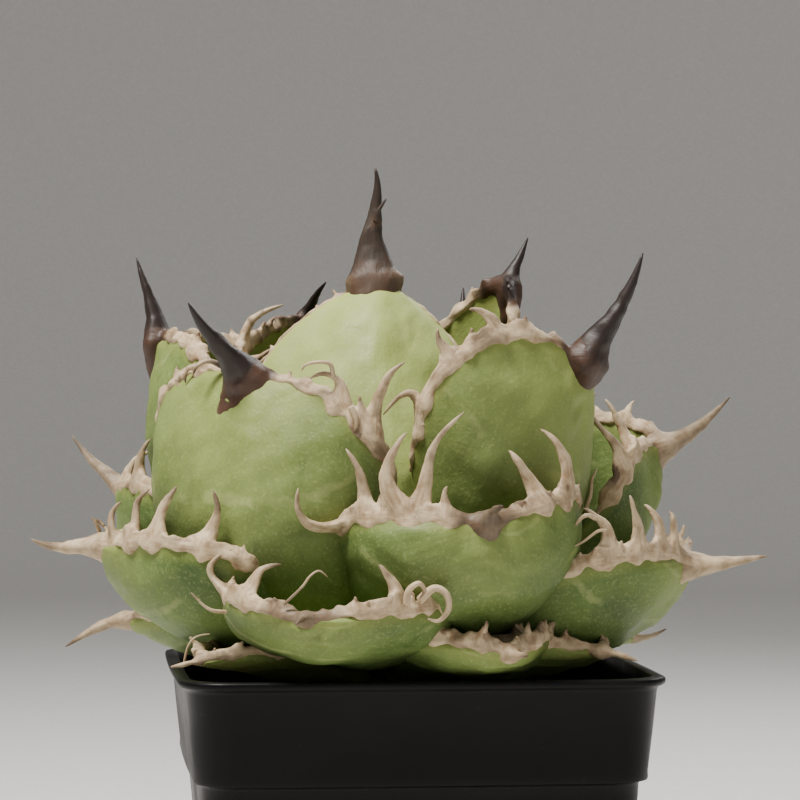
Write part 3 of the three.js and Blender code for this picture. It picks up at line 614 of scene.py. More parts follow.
def write_points(mesh, points):
    mesh.vertices.foreach_set("co", (points * MM).astype(np.float32).ravel())
    mesh.update()


def add_number(mesh, name, values):
    """A number for each point; one value alone goes to all of them."""
    values = np.ascontiguousarray(np.broadcast_to(values, len(mesh.vertices)), np.float32)
    mesh.attributes.new(name, "FLOAT", "POINT").data.foreach_set("value", values)


def add_vector(mesh, name, values):
    data = mesh.attributes.new(name, "FLOAT_VECTOR", "POINT").data
    data.foreach_set("vector", np.asarray(values, np.float32).ravel())


# The green of the leaves


def relief(leaf, t, u, points):
    """How far the outer face stands out: soft lumps, prints left in the bud, wrinkles by the horn."""
    seed = 100 * leaf.number
    lift = 0.6 * ripple(points, 24, seed) + 0.22 * ripple(points, 10, seed + 1)
    lift += 0.05 * ripple(points, 3.5, seed + 2)
    for k, (start, drop) in enumerate(((0.84, 0.34), (0.66, 0.4))):
        curve = start - drop * np.abs(u) ** 1.7 + 0.02 * np.sin(5 * u + seed + 2 * k)
        gap = (t - curve) / 0.022
        lift += 0.2 * np.tanh(gap) - 0.12 * np.exp(-(gap**2))
    near_horn = ease(0.72, 0.9, t) * (1 - ease(0.5, 0.95, np.abs(u)))
    wrinkles = np.sin(60 * t + 2.2 * ripple(points, 16, seed + 3)) * ripple(points, 20, seed + 4)
    lift += near_horn * 0.2 * wrinkles
    return lift * ease(1.0, 0.9, np.abs(u)) * ease(0, 0.1, t)


def pressed_depth(points, inward, depth, trees):
    """The depth of the inner face where younger leaves press on it, so that they don't cross."""
    result = depth.copy()
    inner = points + inward * depth[..., None]
    for i, j in np.ndindex(depth.shape):
        start, way = Vector(inner[i, j]), Vector(-inward[i, j])
        for tree in trees:
            _, normal, _, distance = tree.ray_cast(start, way, PRESS_REACH)
            if normal is not None and normal.dot(way) > 0:
                result[i, j] = min(result[i, j], depth[i, j] - distance - PRESS_GAP)
    result = np.maximum(result, PRESS_LEAST)
    soft = result.copy()
    lengthways = result[2:, 1:-1] + result[:-2, 1:-1]
    soft[1:-1, 1:-1] = (lengthways + result[1:-1, 2:] + result[1:-1, :-2]) / 4
    return np.minimum(result, soft)


def green_rings(leaf, trees):
    """The rings of the green body, each point's place on the leaf, and its distance to a margin."""
    steps = SMALL_GREEN_STEPS if leaf.small else GREEN_STEPS
    share = np.linspace(0, 1, steps[0])
    t = mix(LEAF_START, GREEN_END, 1 - (1 - share) ** 1.15)[:, None]
    u_outer = np.linspace(-1, 1, steps[1])[None, :]
    face = leaf.face(t, u_outer)
    _, _, inward = leaf.frame(t, u_outer)
    outer = face - inward * relief(leaf, t, u_outer, face)[..., None]
    u_inner = np.linspace(1, -1, steps[2])[None, :]
    under = leaf.face(t, u_inner)
    _, _, inward_under = leaf.frame(t, u_inner)
    depth = pressed_depth(under, inward_under, leaf.thickness(t, u_inner), trees)
    inner = under + inward_under * depth[..., None]
    edges = {}
    for side in (1, -1):
        middle, _, outward, into = leaf.margin(side, t[:, 0])
        turns = np.radians((45, 90, 135) if side > 0 else (135, 90, 45))
        edges[side] = np.stack([
            middle + LEAF_EDGE / 2 * (outward * math.sin(a) - into * math.cos(a)) for a in turns
        ], 1)
    rings = np.concatenate((outer, edges[1], inner, edges[-1]), 1)
    spread = np.concatenate((
        u_outer[0] / 2 + 0.5, np.full(3, 1.0), u_inner[0] / 2 + 2.5, np.full(3, 0.0),
    ))
    chart = np.stack(np.broadcast_arrays(spread[None, :], t, 0.0), -1)
    margins = np.stack([leaf.margin(side, t[:, 0])[0] for side in (-1, 1)], 1)
    near = np.min(np.linalg.norm(rings[:, :, None] - margins[:, None], axis=-1), axis=2)
    return rings, chart, near


def build_green(leaf, trees):
    """The green body of a leaf, and the tree of its faces that the older leaves are pressed by."""
    rings, chart, near = green_rings(leaf, trees)
    points, faces = loft(rings)
    obj = mesh_object(f"agave_leaf_{leaf.name}", points, faces)
    add_vector(obj.data, "chart", chart.reshape(-1, 3))
    add_number(obj.data, "margin", near.ravel())
    add_number(obj.data, "age", leaf.number / len(LEAVES))
    return obj, BVHTree.FromPolygons(points.tolist(), faces)


# The horn of the leaves


def band_rings(leaf, side):
    """The rounded rope of horn along a margin, which swells and bends between its teeth."""
    steps = SMALL_BAND_STEPS if leaf.small else BAND_STEPS
    share = np.linspace(0, 1, steps)
    t = mix(leaf.band_start, BAND_END, share)
    point, along, outward, inward = leaf.margin(side, t)
    length = lengths_along(point)
    seed = 1000 * leaf.number + (side > 0)
    size = leaf.band * (SMALL_HORN if leaf.small else 1.0)
    lobes = np.zeros(steps)
    for tooth in leaf.teeth[side]:
        size_of_lobe = min(1, np.linalg.norm(tooth[1:4]) / LOBE_TOOTH)
        from_tooth = length - np.interp(tooth[0], t, length)
        lobes += size_of_lobe * np.exp(-(from_tooth / LOBE_REACH) ** 2)
    start = ease(0, 0.12, share)
    crest = BAND_WIDTH * size * mix(0.4, 1, start)
    swell = 0.72 + 0.2 * wave(length, 13, seed) + 0.1 * wave(length, 4.5, seed + 1) + 0.4 * lobes
    crest = np.maximum(crest * swell, BAND_LEAST)
    drop = 0.9 + 0.6 * wave(length, 9, seed + 2) + 0.15 * wave(length, 3.5, seed + 3) + 1.5 * lobes
    drop = size * drop
    drop_in = size * (0.7 + 0.5 * wave(length, 8, seed + 4) + 0.6 * lobes)
    drop, drop_in = np.maximum(drop, 0.3) * start, np.maximum(drop_in, 0.3) * start
    curl = 0.9 * size * wave(length, 14, seed + 5)
    proud = size * np.maximum(0.5 + 0.25 * wave(length, 6, seed + 6), 0.2)
    half = LEAF_EDGE / 2
    rounding = np.minimum(0.55, 0.4 * crest + 0.15)
    profile = (
        (-drop, -half + 0.25), (0.2 - drop, -half - 0.7 * proud), (-0.3 * drop, -half - 1.3 * proud),
        (0.3 * crest, -half - 1.1 * proud), (0.72 * crest, -0.7 * half - 0.6 * proud + 0.5 * curl),
        (crest, curl - rounding), (crest + 0.3, curl), (crest, curl + rounding),
        (0.72 * crest, 0.7 * half + 0.6 * proud + 0.5 * curl), (0.3 * crest, half + 1.1 * proud),
        (-0.3 * drop_in, half + 1.3 * proud), (-drop_in, half - 0.25),
    )
    rings = [point + outward * np.broadcast_to(e, (steps,))[:, None]
             + inward * np.broadcast_to(h, (steps,))[:, None] for e, h in profile]
    samples = [(point[i], 0.0, 0.0, length[i], outward[i], along[i]) for i in range(0, steps, 2)]
    return np.stack(rings, 1), samples


def horn_rings(path, wide, deep, axis, ridges, count, root_way=None):
    """Rings round a path: wide half sizes along the axis, deep half sizes across it."""
    ahead = np.gradient(path, axis=0)
    if root_way is not None:
        ahead[0] = root_way
    ahead = unit(ahead)
    side = square_to(ahead, np.broadcast_to(axis, ahead.shape))
    up = np.cross(ahead, side)
    angle = np.arange(count) * 2 * math.pi / count
    flute = 1 + ridges * np.cos(3 * angle + 0.8) + 0.6 * ridges * np.cos(5 * angle)
    x = wide[:, None] * np.cos(angle) * flute
    y = deep[:, None] * np.sin(angle) * flute
    return path[:, None] + side[:, None] * x[..., None] + up[:, None] * y[..., None]


def path_samples(path, axis, tips, offset=0.0):
    """What the horn's grain is read from: point, ripeness, places across and along, and both ways."""
    length = lengths_along(path)
    ahead = unit(np.gradient(path, axis=0))
    side = square_to(ahead, axis)
    return [(path[i], tips[i], offset, length[i], side[i], ahead[i]) for i in range(len(path))]


def tooth_parts(leaf, side, tooth):
    """A tooth: broad and flat at its webbed root, round and a little twisted further out."""
    place, right, back, up = tooth[:4]
    rng = np.random.default_rng(int(1000 * place) + 31 * leaf.number + (side > 0))
    point, along, outward, inward = (v[0] for v in leaf.margin(side, np.array([place])))
    reach = np.array((right, back, up), float)
    long = np.linalg.norm(reach)
    root = point + outward * TOOTH_SINK
    bend = root + outward * long * TOOTH_BEND + reach * TOOTH_BEND
    if len(tooth) > 4:
        bend = root + np.array(tooth[4:7], float)
    v = np.linspace(0, 1, TOOTH_STEPS)
    path = quadratic(root, bend, root + reach, v)
    path += along * (rng.choice((-1, 1)) * 0.06 * long * np.sin(2.2 * math.pi * v) * v)[:, None]
    path += inward * (rng.uniform(0.02, 0.07) * long * np.sin(1.7 * math.pi * v))[:, None]
    least, added, most = TOOTH_HALF
    half = min(most, least + long * added)
    root_share = np.exp(-v / 0.13)
    wide = half * (1 - v) ** 0.75 + 1.5 * half * root_share + 0.1
    deep = mix(0.5, 0.8, v) * half * (1 - v) ** 0.75 + 0.2 + 0.3 * root_share
    deep[-1] = 0.1
    twist = along + inward * (rng.uniform(-0.9, 0.9) * v)[:, None]
    rings = horn_rings(path, wide, deep, unit(twist), 0.05, TOOTH_SIDES, outward)
    return rings, path_samples(path, along, v, 40 * place)


def small_teeth(leaf, side):
    """Short denticles between the teeth that are placed one by one."""
    rng = np.random.default_rng(500 + 2 * leaf.number + (side > 0))
    made = []
    for place in np.arange(leaf.band_start + 0.08, 0.93, DENTICLE_PITCH):
        place = place + rng.uniform(-0.015, 0.015)
        free = all(abs(place - tooth[0]) > DENTICLE_ROOM for tooth in leaf.teeth[side])
        if free and rng.random() < DENTICLE_CHANCE:
            _, along, outward, inward = (v[0] for v in leaf.margin(side, np.array([place])))
            way = outward + rng.uniform(-0.6, 0.6) * along + rng.uniform(-0.4, 0.4) * inward
            long = rng.uniform(*DENTICLE_LENGTHS) * (SMALL_HORN if leaf.small else 1)
            made.append((place, *(unit(way) * long)))
    return made


def cap_rings(leaf):
    """The horn over the leaf's apex, between the bands and the spine, with a lobed edge."""
    rng = np.random.default_rng(900 + leaf.number)
    low = mix(leaf.lobe, 1, 0.25)
    t = np.linspace(low - 0.04, 0.996, CAP_STEPS[0])[:, None]
    u_outer = np.linspace(-1, 1, CAP_STEPS[1])[None, :]
    u_inner = np.linspace(1, -1, CAP_STEPS[2])[None, :]
    turn = rng.uniform(0, 2 * math.pi)

    def grown(u):
        edge = low + 0.01 + 0.008 * np.sin(5.2 * u + turn) - 0.012 * np.cos(2.6 * u)
        edge = edge + 0.004 * np.sin(13 * u)
        return mix(-0.7, 0.5, ease(-0.014, 0.014, t - edge))

    _, _, inward = leaf.frame(t, u_outer)
    outer = leaf.face(t, u_outer) - inward * grown(u_outer)[..., None]
    _, _, under = leaf.frame(t, u_inner)
    depth = leaf.thickness(t, u_inner) + grown(u_inner)
    inner = leaf.face(t, u_inner) + under * depth[..., None]
    return np.concatenate((outer, inner), 1)


def spine_parts(leaf):
    """The end spine: a rounded root in the leaf's apex, then a fluted, slightly winding thorn."""
    apex = leaf.face(np.ones(1), 0.0)[0]
    along, _, inward = (way[0] for way in leaf.frame(np.ones(1), 0.0))
    v = np.linspace(0.02, 1, SPINE_STEPS)
    controls = [(leaf.keel[3][0], leaf.sway, leaf.keel[3][1])] + [list(p) for p in leaf.spine]
    after = leaf.place(cubic(controls, v))
    after += (inward * SPINE_SINK) * ((1 - v) ** 2)[:, None]
    after += leaf.aside * (0.5 * np.sin(2 * math.pi * v + leaf.number) * v * (1 - v) * 2)[:, None]
    back = -unit(unit(after[3] - after[0]) + along)
    long = 0.9 * np.linalg.norm(leaf.face(leaf.lobe, 0.0) - apex)
    depth = np.linspace(1, 0.04, SPINE_ROOT_STEPS)
    path = np.concatenate((after[0] + back * (long * depth)[:, None], after))
    for _ in range(SPINE_SOFTENING):
        path[1:-8] += 0.5 * ((path[:-9] + path[2:-7]) / 2 - path[1:-8])
    shaft = leaf.shaft * (1 - v) ** 0.8 + 0.1
    flare = leaf.flare * 0.85 * np.exp(-v / FLARE_FADE)
    swell = np.sqrt(1 - 0.97 * depth**1.3)
    wide = np.concatenate((swell * (shaft[0] + flare[0]), shaft + flare))
    deep = np.concatenate((swell * (shaft[0] + 0.6 * flare[0]), shaft + flare * 0.6))
    rings = horn_rings(path, wide, deep, leaf.aside, 0.05, SPINE_SIDES)
    tips = np.concatenate((np.zeros(SPINE_ROOT_STEPS), v))
    return rings, path_samples(path, leaf.aside, tips)


def drawn_in(rings):
    """Rings of a thin end whose first few shrink, so that it leaves the body without a step."""
    middle = rings.mean(axis=1, keepdims=True)
    size = mix(TIP_START, 1, ease(0, TIP_RINGS, np.arange(len(rings), dtype=float)))
    return middle + (rings - middle) * size[:, None, None]


def evened(points, pairs, rounds, pull=0.5):
    """Points drawn towards the middle of their neighbours."""
    for _ in range(rounds):
        total = np.zeros_like(points)
        count = np.zeros(len(points))
        for a, b in ((0, 1), (1, 0)):
            np.add.at(total, pairs[:, a], points[pairs[:, b]])
            np.add.at(count, pairs[:, a], 1)
        points = points + pull * (total / count[:, None] - points)
    return points


def pairs_of(mesh):
    flat = np.empty(len(mesh.edges) * 2, np.int32)
    mesh.edges.foreach_get("vertices", flat)
    return flat.reshape(-1, 2)


def normals_of(mesh):
    flat = np.empty(len(mesh.vertices) * 3, np.float32)
    mesh.vertices.foreach_get("normal", flat)
    return flat.reshape(-1, 3)


# Splinters, curls and dried threads of horn: the leaf, half the width at the root, and the places
# (right, back, up) that each passes
SPLINTERS = (
    ("02", 0.8, ((-6.2, -3, 200), (-5.6, -3.5, 202.2), (-3.8, -3.8, 205))),
    ("03", 0.9, ((-36, 3, 165.6), (-31, 4, 169.3), (-26.1, 5, 170.9))),
    ("05", 0.9, ((-11.3, -43, 158), (-10.1, -43.4, 155.6), (-10, -43.6, 153.9), (-10.6, -43.4, 152.7))),
    ("05", 0.6, ((-15, -41, 164.6), (-15.7, -41.5, 167.2), (-18.3, -42, 167.6), (-20.9, -42, 167),
                 (-21.9, -42, 165.7))),
    ("05", 0.8, ((-38.8, -26, 166.4), (-42.3, -26.5, 168), (-45, -27, 167), (-45.9, -27, 165.2))),
    ("05", 0.7, ((-46.5, -13.5, 160), (-49.6, -13, 162.2), (-50.9, -13, 164.2))),
    ("09", 0.6, ((40.6, -14, 135), (41.7, -14.6, 138.5), (42, -14.6, 141.7), (43.2, -14.4, 144.3))),
    ("10", 0.9, ((0.6, -62.5, 117), (1.2, -63.5, 120), (3.2, -63.5, 121.4), (4.4, -63, 119.8),
                 (3.3, -63, 118))),
    ("10", 1.1, ((3.4, -59, 117.6), (6.4, -60.5, 120.2), (9, -61, 119), (9.4, -60.5, 115.8),
                 (7.4, -60, 113.4), (5, -60, 113.8))),
    ("10", 0.5, ((-37.6, -50, 114.6), (-40.3, -51.5, 115), (-42.4, -52, 116.3), (-44.8, -52, 118.8))),
    ("10", 0.32, ((-24.8, -63.2, 117), (-21.1, -64, 120.6), (-19.4, -64, 122.9), (-17.5, -63.5, 124),
                  (-15.7, -63, 122.7))),
    ("12", 0.5, ((41.5, -39.5, 134), (39.3, -41.5, 134.8), (37.5, -42, 133.5), (36.5, -42, 131.8))),
    ("12", 0.32, ((43.6, -39.4, 131.5), (41.7, -40.6, 131.3), (38.4, -41.5, 129), (35.2, -41.5, 127.7))),
    ("13", 0.6, ((-67.6, -9, 128.2), (-68.6, -9.4, 131.4), (-69.8, -9.4, 133.4))),
    ("17", 0.3, ((-47.1, -39.8, 102.4), (-46.8, -40.2, 104.5), (-46.2, -40.4, 106.6), (-45, -40.4, 108.3),
                 (-43.3, -40.2, 109), (-41.5, -40, 109.2))),
    ("19", 0.5, ((28.4, -41, 107.4), (25.5, -41.6, 109.7), (23.8, -41.8, 111.8), (22.6, -41.6, 114.6))),
)


def smooth_path(places, steps):
    """A smooth line through the given places."""
    places = np.array(places, float)
    padded = np.concatenate((2 * places[:1] - places[1:2], places, 2 * places[-1:] - places[-2:-1]))
    spots = np.linspace(0, len(places) - 1, steps)
    k = np.minimum(spots.astype(int), len(places) - 2)
    f = (spots - k)[:, None]
    a, b, c, d = (padded[k + i] for i in range(4))
    bend = (2 * a - 5 * b + 4 * c - d) * f**2 + (3 * b - a - 3 * c + d) * f**3
    return 0.5 * (2 * b + (c - a) * f + bend)


def splinter_parts(leaf, half, places):
    """A splinter, curl or thread that tapers along the places it passes."""
    v = np.linspace(0, 1, SPINE_STEPS)
    path = smooth_path(places, len(v))
    size = half * (1 - v) ** 0.5 + 0.1
    rings = horn_rings(path, size, 0.75 * size, unit(leaf.out + leaf.aside), 0.0, 8)
    return rings, path_samples(path, leaf.aside, v)


def horn_parts(leaf):
    """The solids that a leaf's horn is fused from, its thin free ends, and the samples of its grain."""
    parts, ends, samples = [], [], []
    for side in (-1, 1):
        rings, found = band_rings(leaf, side)
        parts.append(loft(rings))
        samples += found
        for tooth in leaf.teeth[side] + small_teeth(leaf, side):
            rings, found = tooth_parts(leaf, side, tooth)
            parts.append(loft(rings))
            ends.append(drawn_in(rings[TOOTH_END:]))
            samples += found
    parts.append(loft(cap_rings(leaf)))
    rings, spine_samples = spine_parts(leaf)
    parts.append(loft(rings))
    ends.append(drawn_in(rings[SPINE_END:]))
    samples += spine_samples
    for name, half, places in SPLINTERS:
        if name == leaf.name:
            rings, found = splinter_parts(leaf, half, places)
            ends.append(rings)
            samples += found
    return joined(parts), ends, samples, spine_samples


def soften_horn(leaf, mesh):
    """Smooths the fused horn, most of all round the spine's root, and gives it low lumps."""
    pairs = pairs_of(mesh)
    points = points_of(mesh)
    root = leaf.shaft + leaf.flare
    from_apex = np.linalg.norm(points - leaf.face(0.99, 0.0), axis=1)
    at_root = ease(1.8 * root, 0.9 * root, from_apex)[:, None]
    points = evened(points, pairs, SOFT_ROUNDS)
    points = mix(points, evened(points, pairs, ROOT_SOFT_ROUNDS), at_root)
    lumps = 0.12 * ripple(points, 4.5, 70 + leaf.number) + 0.03 * ripple(points, 1.5, 170 + leaf.number)
    write_points(mesh, points)
    points = points + normals_of(mesh) * lumps[:, None]
    write_points(mesh, points)


def add_ends(mesh, ends):
    """Joins the thin ends of the teeth and the spine to the horn, because fusing rounds them off."""
    work = bmesh.new()
    work.from_mesh(mesh)
    for rings in ends:
        points, faces = loft(rings)
        made = [work.verts.new(p * MM) for p in points]
        for face in faces:
            work.faces.new([made[i] for i in face]).smooth = True
    bmesh.ops.recalc_face_normals(work, faces=work.faces)
    work.to_mesh(mesh)
    work.free()


def tree_of(samples):
    """A tree that finds the sample nearest to a point."""
    tree = KDTree(len(samples))
    for i, sample in enumerate(samples):
        tree.insert(sample[0], i)
    tree.balance()
    return tree


def mark_horn(leaf, mesh, samples, spine_samples):
    """Writes what the horn's material reads: the grain, tips, spine, hollows (for painted shade and
    painted highlight) and darkness.
    """
    points = points_of(mesh)
    mean = evened(points, pairs_of(mesh), 2, 1.0)
    hollow = dot(mean - points, normals_of(mesh))
    nearest, nearest_of_spine = tree_of(samples), tree_of(spine_samples)
    grain = np.zeros((len(points), 3))
    tip = np.zeros(len(points))
    from_spine = np.zeros(len(points))
    for i, point in enumerate(points):
        at, ripe, across, along, side, ahead = samples[nearest.find(point)[1]]
        offset = point - at
        grain[i] = (across + offset @ side, along + offset @ ahead, 0)
        tip[i] = ripe
        from_spine[i] = nearest_of_spine.find(point)[2]
    add_vector(mesh, "grain", grain)
    add_number(mesh, "tip", tip)
    add_number(mesh, "spine", ease(11, 4.5, from_spine))
    add_number(mesh, "hollow", hollow)
    add_number(mesh, "dark", SPINE_DARKNESS[leaf.name])


def build_horn(leaf, cell):
    """A leaf's horn: bands, cap, teeth and spine fused in one body, thinned, and marked for colour."""
    solids, ends, samples, spine_samples = horn_parts(leaf)
    obj = mesh_object(f"agave_horn_{leaf.name}", *solids)
    fuse = obj.modifiers.new("fuse", "REMESH")
    fuse.mode = "VOXEL"
    fuse.voxel_size = cell * MM
    fuse.use_smooth_shade = True
    soften_horn(leaf, baked(obj).data)
    thin = obj.modifiers.new("thin out", "DECIMATE")
    thin.ratio = HORN_SHARE
    thin.use_collapse_triangulate = True
    mesh = baked(obj).data
    shade_smooth(mesh)
    add_ends(mesh, ends)
    mark_horn(leaf, mesh, samples, spine_samples)
    return obj


# Pot, soil and stem


def pot_ring(half, z):
    """A square ring with rounded corners and slightly bowed sides, at a height."""
    turn = math.radians(POT_TURN)
    radius = POT_CORNER * half / (POT_SIDE / 2)
    flat = half - radius
    ring = []
    for side in range(4):
        angle = turn + side * math.pi / 2
        spots = []
        for share in np.linspace(-0.86, 0.86, 13):
            spots.append((half + POT_BOW * (1 - share**2), share * flat))
        for corner in np.linspace(0, math.pi / 2, 9):
            spots.append((flat + radius * math.cos(corner), flat + radius * math.sin(corner)))
        for out, along in spots:
            x = out * math.cos(angle) - along * math.sin(angle)
            y = out * math.sin(angle) + along * math.cos(angle)
            ring.append((x, y, z))
    return np.array(ring)


def build_pot():
    """The moulded pot: lip, collar, step, tapered wall and foot outside, and drain holes below."""
    rim = POT_SIDE / 2
    foot = POT_FOOT_SIDE / 2
    body_top = rim - BODY_INSET
    collar_foot = rim - COLLAR_FOOT_INSET
    collar_top = rim - COLLAR_TOP_INSET
    collar_middle = mix(collar_foot, collar_top, 0.5)
    lip_foot = POT_HEIGHT - RIM_LIP
    outside = [
        (foot - 2.2, 0.0), (foot - 1.0, 0.15), (foot - 0.4, 0.6), (foot - 0.05, 1.6), (foot + 0.3, 4.0),
        (mix(foot, body_top, 0.3), 24), (mix(foot, body_top, 0.6), 46),
        (body_top - 0.1, COLLAR_FOOT - 3.5), (body_top, COLLAR_FOOT - 1.0),
        (body_top + 0.25, COLLAR_FOOT - 0.45), (collar_foot - 0.7, COLLAR_FOOT - 0.1),
        (collar_foot - 0.1, COLLAR_FOOT + 0.1), (collar_foot + 0.05, COLLAR_FOOT + 0.6),
        (collar_foot, COLLAR_FOOT + 2), (collar_middle, COLLAR_MIDDLE),
        (collar_top - 0.05, lip_foot - 1.4), (collar_top + 0.25, lip_foot - 0.7),
        (rim - 0.5, lip_foot - 0.25), (rim - 0.1, lip_foot + 0.05), (rim, lip_foot + 0.5),
        (rim, POT_HEIGHT - 0.5), (rim - 0.2, POT_HEIGHT - 0.12), (rim - 0.6, POT_HEIGHT),
    ]
    inside = [
        (collar_top - POT_WALL + 0.3, POT_HEIGHT), (collar_top - POT_WALL, POT_HEIGHT - 0.3),
        (collar_top - POT_WALL - 0.15, POT_HEIGHT - 3), (collar_middle - POT_WALL, COLLAR_MIDDLE),
        (collar_foot - POT_WALL, COLLAR_FOOT + 1.5), (body_top - POT_WALL, COLLAR_FOOT),
        (mix(foot, body_top, 0.5) - POT_WALL, 40), (foot - POT_WALL, POT_FLOOR + 1.5),
        (foot - POT_WALL - 1.5, POT_FLOOR),
    ]
    points, faces = loft([pot_ring(half, z) for half, z in outside + inside])
    pot = mesh_object("agave_pot", points, faces, smooth=False)
    drills = []
    for i in range(DRAIN_HOLES):
        angle = 2 * math.pi * i / DRAIN_HOLES
        middle = np.array((DRAIN_RING * math.cos(angle), DRAIN_RING * math.sin(angle), 0))
        turns = np.linspace(0, 2 * math.pi, 28, endpoint=False)
        ring = DRAIN_RADIUS * np.stack((np.cos(turns), np.sin(turns), 0 * turns), -1) + middle
        drills.append(loft([ring + (0, 0, z) for z in (-1.0, POT_FLOOR + 1)]))
    drill = mesh_object("drill", *joined(drills), smooth=False)
    cut = pot.modifiers.new("drain holes", "BOOLEAN")
    cut.operation = "DIFFERENCE"
    cut.solver = "EXACT"
    cut.object = drill
    baked(pot)
    old = drill.data
    bpy.data.objects.remove(drill)
    bpy.data.meshes.remove(old)
    shade_smooth(pot.data)
    pot.data.set_sharp_from_angle(angle=math.radians(50))
    return pot


def grain_tree():
    """Scatters small rough stones over the top of a mesh, each squashed and turned its own way."""
    tree = bpy.data.node_groups.new("loose grains", "GeometryNodeTree")
    tree.interface.new_socket("Geometry", in_out="INPUT", socket_type="NodeSocketGeometry")
    kinds = {"Density": "Float", "Grain": "Float", "Seed": "Int", "Material": "Material"}
    for label, kind in kinds.items():
        tree.interface.new_socket(label, in_out="INPUT", socket_type="NodeSocket" + kind)
    tree.interface.new_socket("Geometry", in_out="OUTPUT", socket_type="NodeSocketGeometry")
    nodes = Nodes(tree)
    given = nodes.add("NodeGroupInput").outputs
    top = nodes.add("GeometryNodeInputNamedAttribute", {"Name": "top"}, data_type="FLOAT")
    spots = nodes.add("GeometryNodeDistributePointsOnFaces", {
        "Mesh": given["Geometry"],
        "Selection": nodes.math("GREATER_THAN", top.outputs["Attribute"], 0.99),
        "Density": given["Density"], "Seed": given["Seed"],
    })
    stone = nodes.add("GeometryNodeMeshIcoSphere", {"Radius": given["Grain"], "Subdivisions": 1})
    drawn = []
    for least, most in (((0, 0, 0), (6.3, 6.3, 6.3)), ((0.5, 0.4, 0.3), (1.5, 1.2, 0.9))):
        value = nodes.add("FunctionNodeRandomValue", {0: least, 1: most}, data_type="FLOAT_VECTOR")
        drawn.append(value.outputs[0])
    turn, size = drawn
    stones = nodes.add("GeometryNodeInstanceOnPoints", {
        "Points": spots.outputs["Points"], "Instance": stone.outputs["Mesh"],
        "Rotation": turn, "Scale": size,
    })
    real = nodes.add("GeometryNodeRealizeInstances", {"Geometry": stones.outputs[0]}).outputs[0]
    joined_up = nodes.add("GeometryNodeJoinGeometry")
    tree.links.new(real, joined_up.inputs[0])
    tree.links.new(given["Geometry"], joined_up.inputs[0])
    inputs = {"Geometry": joined_up.outputs[0], "Material": given["Material"]}
    done = nodes.add("GeometryNodeSetMaterial", inputs).outputs[0]
    nodes.add("NodeGroupOutput", {0: done})
    return tree


def scattered(obj, tree, values):
    """The object with a tree's result as its plain mesh, the tree's inputs given by name."""
    modifier = obj.modifiers.new(tree.name, "NODES")
    modifier.node_group = tree
    for item in tree.interface.items_tree:
        if item.in_out == "INPUT" and item.name in values:
            modifier[item.identifier] = values[item.name]
    return baked(obj)


def build_soil(material):
    """The soil that fills the pot round the stem, with loose grains on its rippled top."""
    inside = POT_SIDE / 2 - BODY_INSET - POT_WALL - SOIL_GAP
    bottom = pot_ring(POT_FOOT_SIDE / 2 - POT_WALL - SOIL_GAP, POT_FLOOR + SOIL_GAP)
    top = pot_ring(inside, SOIL_TOP)
    rings = [bottom, pot_ring(inside, COLLAR_FOOT - 1), top]
    angle = np.arctan2(top[:, 1], top[:, 0])
    hole = np.stack((STEM_HOLE * np.cos(angle), STEM_HOLE * np.sin(angle), 0 * angle), -1)
    shares = np.linspace(0.06, 1, 16)
    for share in shares:
        ring = mix(top, hole, share)
        ring[:, 2] = SOIL_TOP + SOIL_SWELL * share
        ring[:, 2] += SOIL_RIPPLE * ripple(ring * (1, 1, 0), 6, 5) * (1 - share**4)
        rings.append(ring)
    rings.append(hole + (0, 0, STEM_FOOT - SOIL_GAP))
    points, faces = loft(rings)
    soil = mesh_object("agave_soil", points, faces)
    scatter = np.concatenate(([0, 0, 0], (shares < GRAIN_REACH).astype(float), [0]))
    add_number(soil.data, "top", np.repeat(scatter, len(top)))
    values = {"Density": GRAIN_DENSITY, "Grain": GRAIN_SIZE * MM, "Seed": SEED, "Material": material}
    return scattered(soil, grain_tree(), values)


def build_stem():
    """The conical stem, with the scars of old leaves winding round it."""
    rings = []
    profile = np.array(STEM_PROFILE)
    for z in np.linspace(STEM_FOOT, STEM_PROFILE[-1][1], 70):
        radius = np.interp(z, profile[:, 1], profile[:, 0])
        angle = np.linspace(0, 2 * math.pi, 60, endpoint=False)
        scar = SCAR_DEPTH * np.cos(SCAR_PITCH * (z - 8 * angle / (2 * math.pi)))
        r = radius - STEM_INSET + scar * ease(STEM_FOOT + 10, STEM_FOOT + 18, z)
        rings.append(np.stack((r * np.cos(angle), r * np.sin(angle), z + 0 * angle), -1))
    rings = np.array(rings)
    bumps = 0.15 * ripple(rings, 5, 8)
    reach = np.maximum(np.linalg.norm(rings[..., :2], axis=-1), 1)
    rings[..., :2] *= (1 + bumps / reach)[..., None]
    return mesh_object("agave_stem", *loft(rings))


